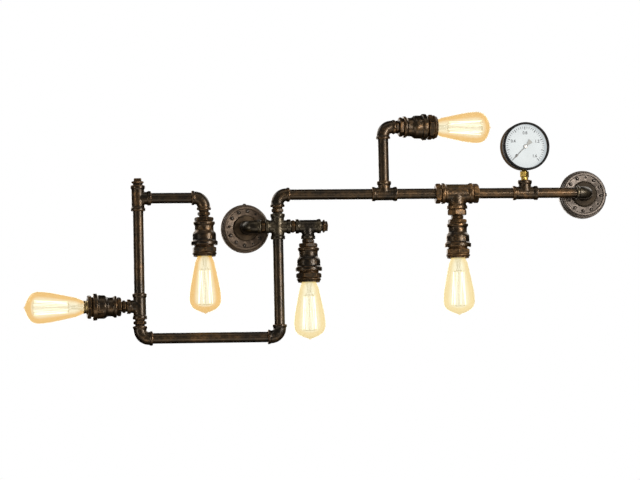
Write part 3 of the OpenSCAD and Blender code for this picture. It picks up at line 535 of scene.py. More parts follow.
class NodeTree:
    """Short calls to lay out the nodes of a material or of the world."""

    def __init__(self, owner):
        owner.use_nodes = True
        self.nodes = owner.node_tree.nodes
        self.links = owner.node_tree.links

    def add(self, kind, inputs=None, **values):
        node = self.nodes.new("ShaderNode" + kind)
        for name, value in values.items():
            setattr(node, name, value)
        for name, value in (inputs or {}).items():
            self.feed(value, node.inputs[name])
        return node

    def feed(self, value, socket):
        if isinstance(value, bpy.types.NodeSocket):
            self.links.new(value, socket)
        else:
            socket.default_value = value

    def set(self, **values):
        """Sets or links the material's shader by its sockets' names."""
        shader = self.nodes["Principled BSDF"]
        for name, value in values.items():
            self.feed(value, shader.inputs[name.replace("_", " ")])

    def place(self):
        return self.add("TexCoord").outputs["Object"]

    def noise(self, scale, detail=4.0, roughness=0.55):
        inputs = {"Scale": scale, "Detail": detail, "Roughness": roughness, "Vector": self.place()}
        return self.add("TexNoise", inputs).outputs["Fac"]

    def ramp(self, value, stops):
        """Colour ramp whose stops are (position, colour) or (position, number)."""
        node = self.add("ValToRGB", {"Fac": value})
        ramp = node.color_ramp
        while len(ramp.elements) < len(stops):
            ramp.elements.new(0.5)
        for element, (position, colour) in zip(ramp.elements, stops):
            element.position = position
            if isinstance(colour, (int, float)):
                colour = (colour, colour, colour)
            element.color = (*colour, 1.0)
        return node.outputs["Color"]

    def mix(self, share, first, second):
        node = self.add("Mix", {0: share}, data_type="RGBA")
        for value, socket in ((first, node.inputs[6]), (second, node.inputs[7])):
            if not isinstance(value, bpy.types.NodeSocket):
                value = (*value, 1.0)
            self.feed(value, socket)
        return node.outputs[2]

    def math(self, operation, first, second):
        return self.add("Math", {0: first, 1: second}, operation=operation).outputs[0]

    def bump(self, height, strength, distance):
        inputs = {"Height": height, "Strength": strength, "Distance": distance}
        self.set(Normal=self.add("Bump", inputs).outputs["Normal"])


def new_material(name):
    return NodeTree(bpy.data.materials.new(name))


def shade(colour, share):
    return tuple(c * share for c in colour)


def aged_bronze(name, tones, mottle, wear_and_edge_light, grain, metal=0.88, lacquer=0.26):
    """Lacquered bronze, mottled in three tones. With edge rubbing, edges are worn bright, which also paints
    highlights on them, and recesses are painted black for grime and the shade in them.
    """
    tree = new_material(name)
    patches = tree.noise(mottle, 6.0, 0.62)
    flecks = tree.noise(mottle * 7, 3.0, 0.6)
    blend = tree.math("ADD", tree.math("MULTIPLY", patches, 0.72), tree.math("MULTIPLY", flecks, 0.28))
    across = tree.add("SeparateXYZ", {"Vector": tree.place()}).outputs["X"]
    ends = {"From Min": CAD_BOX[0][0], "From Max": CAD_BOX[1][0]}
    share = tree.add("MapRange", {"Value": across, **ends})
    lightening = tree.ramp(share.outputs["Result"], LIGHTER_ALONG)
    blend = tree.math("ADD", blend, tree.math("MULTIPLY", lightening, 0.12))
    colour = tree.ramp(blend, list(zip((0.44, 0.58, 0.76), tones)))
    if wear_and_edge_light:
        point = tree.add("NewGeometry").outputs["Pointiness"]
        # Edges are rubbed bright: worn metal, and also a painted highlight along the edges, most on the canopies'
        # steps
        rubbed = tree.ramp(point, [(0.515, 0.0), (0.56, 1.0)])
        share = tree.math("MULTIPLY", rubbed, tree.math("MULTIPLY", flecks, wear_and_edge_light * 1.8))
        colour = tree.mix(share, colour, tones[2])
        # Recesses are painted black: grime, and painted shade where the hollows lie in shadow
        recess = tree.ramp(point, [(0.43, 1.0), (0.495, 0.0)])
        colour = tree.mix(tree.math("MULTIPLY", recess, 0.85), colour, GRIME_AND_PAINTED_SHADE)
    tree.set(Base_Color=colour, Metallic=metal, Coat_Weight=lacquer, Coat_Roughness=0.26)
    matt = 0.52 - lacquer
    tree.set(Roughness=tree.ramp(flecks, [(0.3, matt), (0.7, matt + 0.22)]))
    tree.bump(tree.noise(grain, 3.0), 0.22 if wear_and_edge_light else 0.1, 0.25 * MM)


def turned_metal(name, colour, roughness):
    """Bright metal with fine tool marks and a little tarnish."""
    tree = new_material(name)
    tarnish = tree.noise(120.0, 5.0)
    tones = [(0.35, shade(colour, 0.55)), (0.6, colour)]
    tree.set(Base_Color=tree.ramp(tarnish, tones), Metallic=1.0)
    tree.set(Roughness=tree.ramp(tarnish, [(0.3, roughness * 1.5), (0.7, roughness)]))
    tree.bump(tree.noise(900.0, 2.0), 0.12, 0.1 * MM)


def painted(name, colour, roughness, spread=0.12, gloss=0.5):
    """Paint, enamel or glaze with a slight unevenness."""
    tree = new_material(name)
    cloud = tree.noise(70.0, 4.0)
    tones = [(0.35, shade(colour, 1 - spread)), (0.65, colour)]
    tree.set(Base_Color=tree.ramp(cloud, tones), Specular_IOR_Level=gloss)
    tree.set(Roughness=tree.ramp(cloud, [(0.3, roughness * 0.85), (0.7, roughness * 1.15)]))
    tree.bump(tree.noise(500.0, 2.0), 0.06, 0.1 * MM)


def printed_dial(name, colour, glow):
    """Matt white dial that glows evenly with a painted light of its own, standing in for the light of a studio's
    soft tent.
    """
    tree = new_material(name)
    cloud = tree.noise(25.0, 3.0)
    tones = [(0.35, shade(glow, 0.93)), (0.65, glow)]
    tree.set(Base_Color=(*colour, 1.0), Roughness=0.6)
    tree.set(Emission_Color=tree.ramp(cloud, tones), Emission_Strength=1.0)
    tree.bump(tree.noise(500.0, 2.0), 0.04, 0.1 * MM)


def clear_glass(name, tint, density):
    """Glass that stays see-through and keeps a gloss, denser towards its outline."""
    tree = new_material(name)
    edge = tree.add("LayerWeight", {"Blend": 0.25}).outputs["Facing"]
    tree.set(Base_Color=(*tint, 1.0), Roughness=0.03)
    tree.set(Alpha=tree.ramp(edge, [(0.0, density), (1.0, 0.25 + density)]))


def amber_glass(name, amber):
    """Lit amber glass: the filament's light pales its middle, and it is denser towards the outline."""
    tree = new_material(name)
    edge = tree.add("LayerWeight", {"Blend": 0.42}).outputs["Facing"]
    cloud = tree.noise(30.0, 3.0)
    pale = tuple(min(1.0, c * 1.06) for c in amber)
    tint = tree.ramp(cloud, [(0.35, amber), (0.65, pale)])
    tint = tree.mix(tree.ramp(edge, [(0.0, 0.95), (0.1, 0.8), (0.26, 0.0)]), tint, LIT_CREAM)
    tint = tree.mix(tree.ramp(edge, [(0.45, 0.0), (0.85, 0.6)]), tint, RIM_OLIVE)
    tree.set(Base_Color=(*shade(amber, 0.04), 1.0), Roughness=0.1, Specular_IOR_Level=0.06)
    tree.set(Emission_Color=tint, Emission_Strength=1.0)
    tree.set(Alpha=tree.ramp(edge, [(0.0, 0.24), (0.12, 0.30), (0.3, 0.34), (1.0, 0.42)]))


def glowing_wire(name, glow):
    """Wire that gives off a warm light, hotter in places."""
    tree = new_material(name)
    heat = tree.noise(200.0, 2.0)
    warmth = tree.ramp(heat, [(0.3, (1.0, 0.80, 0.48)), (0.7, (1.0, 0.93, 0.74))])
    tree.set(Base_Color=(0.9, 0.7, 0.4, 1.0), Emission_Color=warmth, Emission_Strength=glow)


class LAMP_OT_finishes(bpy.types.Operator):
    """Make the lamp's materials"""

    bl_idname = "pipe_lamp.finishes"
    bl_label = "Finishes"

    def bronzes(self, finish):
        """Aged finishes of castings, pipes, forged fittings, canopies, rivets and hubs; the hubs' tones hold
        painted shade and a painted reflection.
        """
        dark, bronze, copper = finish.dark, finish.bronze, finish.copper
        dusk = shade(dark, 1.6)
        dull_copper = shade(copper, 0.6)
        rubbed_grey = shade(finish.grey, 2.6)
        rivet = shade(finish.canopy, 0.75)
        reflected_gold = shade(finish.olive, 3.2)
        aged_bronze("cast_bronze", (dark, bronze, copper), mottle=34.0, wear_and_edge_light=1.0, grain=700.0)
        tones = (dark, finish.grey, rubbed_grey)
        aged_bronze("grey_cast_bronze", tones, mottle=34.0, wear_and_edge_light=0.8, grain=700.0)
        tones = (dusk, bronze, dull_copper)
        aged_bronze("pipe_bronze", tones, mottle=15.0, wear_and_edge_light=0.0, grain=500.0)
        tones = (dark, bronze, copper)
        aged_bronze("forged_bronze", tones, mottle=60.0, wear_and_edge_light=1.2, grain=900.0, lacquer=0.1)
        # Strong edge rubbing on the canopies also paints highlights along their step edges, in place of the glint
        # of a light
        for word, colour in (("grey", finish.canopy), ("brown", finish.brown_canopy)):
            tones = (shade(colour, 0.6), colour, shade(colour, 1.45))
            name = word + "_canopy_bronze"
            aged_bronze(name, tones, mottle=24.0, wear_and_edge_light=0.9, grain=800.0, metal=0.75, lacquer=0.16)
        tones = (dusk, rivet, shade(rivet, 1.6))
        aged_bronze("rivet_bronze", tones, mottle=90.0, wear_and_edge_light=0.5, grain=900.0)
        # Painted light on the hubs: the right hub is painted dark for the shadow of its elbow, the left one golden
        # for the elbow's reflection
        hubs = {"right": (dark, finish.olive, bronze), "left": (finish.olive, reflected_gold, dull_copper)}
        for side, tones in hubs.items():
            name = side + "_hub_painted_light_bronze"
            aged_bronze(name, tones, mottle=40.0, wear_and_edge_light=0.2, grain=800.0, metal=0.7, lacquer=0.0)

    def execute(self, context):
        finish = context.scene.pipe_lamp_finish
        self.bronzes(finish)
        turned_metal("stem_brass", (0.45, 0.32, 0.085), 0.3)
        turned_metal("screw_brass", (0.44, 0.34, 0.17), 0.3)
        turned_metal("zinc_steel", (0.55, 0.55, 0.56), 0.34)
        turned_metal("support_wire", (0.40, 0.31, 0.20), 0.3)
        painted("porcelain_glaze", (0.86, 0.84, 0.79), 0.16)
        painted("bezel_enamel", (0.004, 0.004, 0.005), 0.5, spread=0.3, gloss=0.12)
        # The case's brown is partly its paint and partly a painted reflection of the warm bulbs
        painted("case_enamel_warm_reflection", (0.13, 0.09, 0.058), 0.6, spread=0.3, gloss=0.0)
        printed_dial("dial_enamel_self_lit", (0.150, 0.160, 0.165), (0.55, 0.60, 0.62))
        painted("dial_ink", (0.03, 0.035, 0.05), 0.6)
        painted("needle_grey", (0.05, 0.055, 0.06), 0.4)
        painted("tail_grey", (0.24, 0.26, 0.27), 0.5)
        painted("hub_silver", (0.72, 0.74, 0.76), 0.3)
        clear_glass("pane_glass", (0.03, 0.035, 0.04), 0.03)
        clear_glass("stem_glass", (0.16, 0.11, 0.06), 0.12)
        amber_glass("amber_envelope", finish.glass_amber)
        amber_glass("pale_envelope", finish.pale_amber)
        glowing_wire("lit_filament", finish.filament_glow)
        return {"FINISHED"}


CAST_NODES = {
    "wall_elbows": "frame",
    "frame_elbows": "frame",
    "pipe_cross": "frame",
    "frame_tees": "frame",
    "large_tee": "frame",
    "fixed_lamp_bells": "frame",
    "left_arm_tee": "left_arm",
    "left_lamp_elbow": "left_lamp",
    "left_lamp_bell": "left_lamp",
    "upper_arm_elbow": "upper_arm",
    "upper_lamp_bell": "upper_arm",
    "stub_tee": "stub_lamp",
    "stub_lamp_bell": "stub_lamp",
}

# Castings whose finish is greyer than the rest
GREY_CASTINGS = ("wall_elbows", "pipe_cross", "stub_tee")


class LAMP_OT_cast_fittings(bpy.types.Operator):
    """Model the cast elbows, tees, cross and bells with soft fillets"""

    bl_idname = "pipe_lamp.cast_fittings"
    bl_label = "Cast fittings"

    def execute(self, context):
        cast = context.scene.pipe_lamp_cast
        for node, body in CAST_NODES.items():
            piece = cast_copy(node, node + "_cast", cast.body_voxel, cast.body_rounds)
            look = "grey_cast_bronze" if node in GREY_CASTINGS else "cast_bronze"
            finish_piece(piece, look, body, "aged_fitting", node)
        return {"FINISHED"}


FORGED_NODES = {
    "frame_nipples": "frame",
    "frame_bushes": "frame",
    "fixed_lamp_mouths": "frame",
    "left_arm_plug": "left_arm",
    "left_lamp_adapters": "left_lamp",
    "left_lamp_mouth": "left_lamp",
    "upper_lamp_adapters": "upper_arm",
    "upper_lamp_mouth": "upper_arm",
    "stub_plug": "stub_lamp",
    "stub_lamp_adapters": "stub_lamp",
    "stub_lamp_mouth": "stub_lamp",
}


class LAMP_OT_forged_fittings(bpy.types.Operator):
    """Model the hex nipples, bushes, collars, mouth rings and plugs"""

    bl_idname = "pipe_lamp.forged_fittings"
    bl_label = "Forged fittings"

    def execute(self, context):
        cast = context.scene.pipe_lamp_cast
        for node, body in FORGED_NODES.items():
            voxel, rounds = cast.hex_voxel, cast.hex_rounds
            if "_mouth" in node:
                voxel, rounds = cast.ring_voxel, cast.ring_rounds
            piece = cast_copy(node, node + "_forged", voxel, rounds)
            finish_piece(piece, "forged_bronze", body, "aged_fitting", node)
        return {"FINISHED"}


class LAMP_OT_threads(bpy.types.Operator):
    """Model the thread turns that show between each bell and its collar"""

    bl_idname = "pipe_lamp.threads"
    bl_label = "Threads"

    def ridge(self, pitch, depth):
        """A helical ridge of triangular section on the collar's sleeve, closed at both ends."""
        sleeve = 19.5 * MM
        root = sleeve - 0.3 * MM
        start = 0.5 * MM
        length = 2.7 * MM
        half = pitch * 0.42
        outline = [(root, -half), (sleeve + depth, 0), (root, half), (root, -half)]
        ridge = draw_outline("collar_thread", outline, unit=1.0)
        bpy.ops.mesh.remove_doubles(threshold=SAME_POINT)
        end_edit()
        turns = length / pitch
        steps = max(12, round(turns * 40))
        apply_modifier(
            ridge,
            "SCREW",
            angle=FULL_TURN * turns,
            screw_offset=length,
            steps=steps,
            render_steps=steps,
            use_smooth_shade=False,
        )
        edit_all(ridge)
        bpy.ops.mesh.fill_holes(sides=0)
        face_outwards()
        place(ridge, Matrix.Translation((0, 0, start)))
        smooth(ridge, 50)
        return ridge

    def execute(self, context):
        cast = context.scene.pipe_lamp_cast
        model = self.ridge(cast.thread_pitch, cast.thread_depth)
        for number in LAMPS:
            ridge = duplicate(model, f"lamp_{number}_thread", lamp_place(number))
            finish_piece(ridge, "forged_bronze", HOLDER_BODY[number], "aged_fitting")
        discard(model)
        return {"FINISHED"}


PIPE_NODES = {
    "left_post": "frame",
    "right_post": "frame",
    "bottom_pipe": "frame",
    "main_pipes": "frame",
    "left_arm_pipe": "left_arm",
    "riser_pipe": "upper_arm",
    "canopy_nipples": "frame",
}


class LAMP_OT_pipes(bpy.types.Operator):
    """Model the lengths of pipe as tubes with eased ends"""

    bl_idname = "pipe_lamp.pipes"
    bl_label = "Pipes"

    def tube(self, name, solid):
        """Tube along the longest side of a CAD pipe's box."""
        outer = 10.65 * MM
        inner = 8.05 * MM
        ease = 0.7 * MM
        low, high = Vector(solid.bound_box[0]), Vector(solid.bound_box[6])
        size = high - low
        along = max(range(3), key=lambda k: size[k])
        length = size[along]
        outline = [
            (inner, 0),
            (outer - ease, 0),
            (outer, ease),
            (outer, length - ease),
            (outer - ease, length),
            (inner, length),
        ]
        start = (low + high) / 2
        start[along] = low[along]
        axis = Vector((0, 0, 0))
        axis[along] = 1
        spot = Matrix.Translation(start) @ turn_up_to(axis)
        return place(turn(name, outline, 72, closed=True, unit=1.0), spot)

    def execute(self, context):
        for node, body in PIPE_NODES.items():
            name = node + "_tube"
            solids = split_solids(copy_node(node, node + "_solids"))
            piece = join(name, [self.tube(name, solid) for solid in solids])
            discard(*solids)
            finish_piece(piece, "pipe_bronze", body, "aged_pipe", node)
        return {"FINISHED"}


class LAMP_OT_canopies(bpy.types.Operator):
    """Model the two wall canopies, their rivets and their side screws"""

    bl_idname = "pipe_lamp.canopies"
    bl_label = "Canopies"

    def canopy_outline(self):
        """Half outline of the stepped canopy, outside first, then back along its inside."""
        outside = [
            (CANOPY_HOLE, FACE_LEVEL),
            (38.5, FACE_LEVEL),
            (40.0, 26.0),
            (43.0, 26.0),
            (45.0, 24.0),
            (45.0, 19.2),
            (44.2, 19.2),
            (44.2, 17.7),
            (46.2, 17.7),
            (47.0, 16.9),
            (47.0, 11.9),
            (46.2, 11.9),
            (46.2, 10.4),
            (48.2, 10.4),
            (CANOPY_RADIUS, 9.6),
            (CANOPY_RADIUS, 0.0),
        ]
        return outside + [(43.0, 0.0), (43.0, FACE_UNDERSIDE), (CANOPY_HOLE, FACE_UNDERSIDE)]

    def hub_outline(self):
        """Half outline of the raised disc round the nipple, on a neck that fills the canopy's hole."""
        bore = 10.75
        neck = CANOPY_HOLE + 0.2
        crest = 27.5
        seat = 23.6
        rise = [(bore, crest), (22.9, crest), (23.4, crest), (24.5, 26.9), (25.1, 25.8), (25.2, seat)]
        return rise + [(neck, seat), (neck, FACE_UNDERSIDE), (bore, FACE_UNDERSIDE)]

    def rivet_spots(self):
        """Places round the face, each with the word large or small."""
        for k in range(RIVET_PLACES):
            angle = math.radians(RIVET_TURN + k * 360 / RIVET_PLACES)
            spot = Vector((RIVET_RING * math.cos(angle), RIVET_RING * math.sin(angle), FACE_LEVEL)) * MM
            yield spot, "small" if k in SMALL_RIVETS else "large"

    def sink(self, canopy):
        """Cuts a shallow round recess for each rivet into the canopy's face."""
        depth = 1.8 * MM
        cutters = []
        for spot, word in self.rivet_spots():
            deselect()
            radius = (RIVET_HEADS[word] / 2 + 0.9) * MM
            bpy.ops.mesh.primitive_cylinder_add(vertices=24, radius=radius, depth=depth, location=spot)
            cutters.append(bpy.context.object)
        cut(canopy, join("recesses", cutters))

    def rivet(self, name, head):
        """Domed head on a plain stem, which goes down into its recess."""
        rise = 0.34 * head
        stem = [(0, -3.0), (RIVET_STEM, -3.0), (RIVET_STEM, -0.9), (head / 2, -0.9)]
        dome = [(head / 2 * math.cos(a), rise * math.sin(a)) for a in (0.0, 0.35, 0.75, 1.15)]
        return turn(name, stem + dome + [(0, rise)], 20)

    def side_screw(self):
        """Round-headed screw along Z with a slot cut across its head."""
        rim = CANOPY_RADIUS
        outline = [(0, 37.5), (2.0, 37.5), (2.0, rim), (3.5, rim), (3.5, rim + 0.8)]
        outline += [(3.2, rim + 1.5), (2.4, rim + 2.0), (0, rim + 2.2)]
        screw = turn("side_screw", outline, 32)
        deselect()
        bpy.ops.mesh.primitive_cube_add(size=1, location=(0, 0, (rim + 2.3) * MM))
        cutter = bpy.context.object
        cutter.scale = (1.0 * MM, 9 * MM, 2.2 * MM)
        bake_place(cutter)
        cut(screw, cutter)
        return screw

    def execute(self, context):
        canopy = turn("canopy", self.canopy_outline(), 128, bevel=0.3 * MM, closed=True)
        self.sink(canopy)
        hub = turn("hub", self.hub_outline(), 96, closed=True)
        models = {word: self.rivet(word + "_rivet", head) for word, head in RIVET_HEADS.items()}
        screw = self.side_screw()
        rivets = []
        screws = []
        lean = Matrix.Translation((0, 0, SCREW_LEVEL * MM)) @ Matrix.Rotation(QUARTER_TURN, 4, "Y")
        for side, first in (("left", 90), ("right", 0)):
            look = "brown_canopy_bronze" if side == "left" else "grey_canopy_bronze"
            spot = wall_place(side + "_wall_plate") @ Matrix.Rotation(math.radians(first), 4, "Z")
            piece = duplicate(canopy, side + "_canopy_spun", spot)
            finish_piece(piece, look, "frame", "canopy_metal", side + "_canopy")
            # The hub's tones paint the shade and reflection of the elbow in front of it
            piece = duplicate(hub, side + "_canopy_hub", spot)
            finish_piece(piece, side + "_hub_painted_light_bronze", "frame", "canopy_metal", side + "_canopy")
            for seat, word in self.rivet_spots():
                rivets.append(duplicate(models[word], "rivet_copy", spot @ Matrix.Translation(seat)))
            screws.append(duplicate(screw, "screw_copy", spot @ lean))
        discard(canopy, hub, screw, *models.values())
        piece = join("canopy_rivets_domed", rivets)
        finish_piece(piece, "rivet_bronze", "frame", "canopy_metal", "canopy_rivets")
        piece = join("canopy_screws_slotted", screws)
        finish_piece(piece, "rivet_bronze", "frame", "canopy_metal", "canopy_screws")
        return {"FINISHED"}


SOCKET_NODES = {
    1: "fixed_lamp_sockets",
    2: "left_lamp_socket",
    3: "stub_lamp_socket",
    4: "fixed_lamp_sockets",
    5: "upper_lamp_socket",
}


class LAMP_OT_sockets(bpy.types.Operator):
    """Model each lamp's porcelain socket with its screw shell and centre contact"""

    bl_idname = "pipe_lamp.sockets"
    bl_label = "Sockets"

    def screw_shell(self):
        """Thin brass sleeve pressed into a round thread."""
        radius = 14.0
        swell = 0.28
        pitch = 3.6
        wave = []
        for i in range(29):
            height = -5.0 + i * 0.48
            wave.append((radius + swell * math.sin(height / pitch * FULL_TURN), height))
        shell = turn("screw_shell", wave)
        apply_modifier(shell, "SOLIDIFY", thickness=0.35 * MM, offset=0.0)
        smooth(shell)
        return shell

    def execute(self, context):
        body = [(0, -23.9), (17.4, -23.9), (17.4, 9.0), (14.5, 9.0), (14.5, -5.4), (0, -5.4)]
        contact = [(0, -5.1), (5, -5.1), (5, -3.9), (4.2, -3.3), (0, -3.3)]
        parts = (
            (turn("porcelain", body, bevel=0.5 * MM), "porcelain", "porcelain_glaze", "porcelain"),
            (self.screw_shell(), "shell", "screw_brass", "cap_brass"),
            (turn("contact", contact, 32), "contact", "screw_brass", "cap_brass"),
        )
        for number in LAMPS:
            spot = lamp_place(number)
            for model, word, look, slot in parts:
                piece = duplicate(model, f"lamp_{number}_{word}", spot)
                finish_piece(piece, look, HOLDER_BODY[number], slot, SOCKET_NODES[number])
        discard(*(part[0] for part in parts))
        return {"FINISHED"}


class LAMP_OT_bulbs(bpy.types.Operator):
    """Model the pear-shaped filament bulbs: glass, screw cap, stem, support wires and filament"""

    bl_idname = "pipe_lamp.bulbs"
    bl_label = "Bulbs"

    def glass(self):
        """Envelope from its neck to its sealed tip, with a wall of one millimetre."""
        outline = curve_points((13.4, 0), (13.9, 3.0), (17.1, 7.5), (19.7, 15.0), 8)
        outline += curve_points((19.7, 15.0), (23.9, 36.75), (32.3, 68.65), (32.3, 87.5), 14, 1)
        outline += curve_points((32.3, 87.5), (32.3, 101.85), (27.8, 110.2), (2.4, 117.4), 16, 1)
        outline += [(1.8, 118.3), (1.0, 118.8), (0.0, 119.0)]
        glass = turn("glass", [(radius, height + GLASS_START) for radius, height in outline], 72)
        apply_modifier(glass, "SOLIDIFY", thickness=1.0 * MM, offset=-1.0)
        smooth_all_over(glass)
        return glass

    def cap(self):
        """Brass cap whose round thread runs as a helix, with its insulator and tip contact."""
        pitch = 3.6
        turns = 3
        wave = [(12.6 + 0.5 * math.sin(i / 12 * FULL_TURN), i * pitch / 12) for i in range(13)]
        thread = draw_outline("cap_thread", wave)
        end_edit()
        apply_modifier(
            thread,
            "SCREW",
            angle=FULL_TURN,
            screw_offset=pitch * MM,
            iterations=turns,
            steps=64,
            render_steps=64,
            use_merge_vertices=True,
        )
        place(thread, Matrix.Translation((0, 0, 3.0 * MM)))
        skirt = [(0, 14.0), (12.4, 14.0), (12.5, 15.6), (13.1, 16.6), (13.1, 18.4)]
        top = turn("cap_skirt", skirt + [(12.4, GLASS_START), (0, GLASS_START)])
        core = [(0, 2.0), (12.0, 2.0), (12.15, 3.0), (12.15, 14.5), (0, 14.5)]
        inner = turn("cap_core", core)
        foot = [(0, -3.0), (2.8, -2.9), (4.3, -2.3), (4.6, -1.6), (8.8, 1.2), (12.0, 2.2), (0, 2.2)]
        tip = turn("cap_tip", foot)
        edit_all(thread)
        bpy.ops.mesh.remove_doubles(threshold=10 * SAME_POINT)
        face_outwards()
        cap = join("cap", [thread, top, inner, tip])
        smooth(cap, 40)
        return cap

    def stem(self):
        """Glass stem that flares into the neck and narrows to the rod between the supports."""
        outline = [(0, 18.6), (11.5, 18.6), (11.0, 20.0), (7.2, 24.0), (5.2, 30.0), (4.6, 38.0)]
        outline += [(4.2, 40.5), (2.4, 42.5), (1.7, 45.0), (1.6, 116.5), (2.6, 118.0), (2.4, 119.8)]
        return turn("stem", outline + [(0, 120.5)], 32)

    def wire(self, name, points, thickness):
        """Bends a round wire along points."""
        path = draw_path(name, [Vector(point) * MM for point in points])
        pick(path)
        bpy.ops.object.convert(target="CURVE")
        path.data.bevel_depth = thickness * MM / 2
        path.data.bevel_resolution = 2
        path.data.use_fill_caps = True
        bpy.ops.object.convert(target="MESH")
        bpy.ops.object.shade_smooth()
        return path

    def filament(self):
        """One wire that zigzags between the hooks near the cap and those near the bulb's end."""
        points = []
        for k in range(STRANDS + 1):
            angle = FULL_TURN * k / STRANDS
            radius, height = NEAR_HOOK if k % 2 == 0 else FAR_HOOK
            points.append((radius * math.cos(angle), radius * math.sin(angle), height))
        return self.wire("filament", points, 0.75)

    def hook(self, name, end, root):
        """Support wire from the rod to one bend of the filament."""
        radius, height = end
        return self.wire(name, [(1.2, 0, root), (radius * 0.6, 0, root), (radius + 0.2, 0, height)], 0.6)

    def supports(self):
        """Hooks that hold the filament's bends, and the two lead wires in the stem."""
        radius, height = NEAR_HOOK
        near = self.hook("near_hook", NEAR_HOOK, height - 2.5)
        far = self.hook("far_hook", FAR_HOOK, FAR_HOOK[1] + 2.0)
        bends = [(2.6, 0, 19.0), (2.4, 0, 40.0), (radius * 0.65, 0, height - 3.0), (radius, 0, height)]
        lead = self.wire("lead", bends, 0.6)
        wires = []
        for k in range(STRANDS):
            model = near if k % 2 == 0 else far
            wires.append(duplicate(model, "hook", Matrix.Rotation(FULL_TURN * k / STRANDS, 4, "Z")))
        for half_turns in (0, 1):
            wires.append(duplicate(lead, "lead", Matrix.Rotation(math.pi * half_turns, 4, "Z")))
        discard(near, far, lead)
        return join("supports", wires)

    def execute(self, context):
        glass = self.glass()
        cap = self.cap()
        stem = self.stem()
        filament = self.filament()
        supports = self.supports()
        parts = (
            (glass, "envelope", "amber_envelope", "amber_glass", "bulb_{}_glass"),
            (cap, "cap", "screw_brass", "cap_brass", "bulb_{}_base"),
            (stem, "stem", "stem_glass", "clear_glass", "bulb_{}_base"),
            (supports, "supports", "support_wire", "plated_steel", "bulb_{}_base"),
            (filament, "filament", "lit_filament", "plated_steel", "bulb_{}_base"),
        )
        for number in LAMPS:
            spot = lamp_place(number) @ Matrix.Rotation(math.radians(CAGE_TURN * number), 4, "Z")
            for model, word, look, slot, node in parts:
                if word == "envelope" and number in PALE_BULBS:
                    look = "pale_envelope"
                piece = duplicate(model, f"bulb_{number}_{word}", spot)
                finish_piece(piece, look, f"bulb_{number}", slot, node.format(number))
        discard(*(part[0] for part in parts))
        return {"FINISHED"}


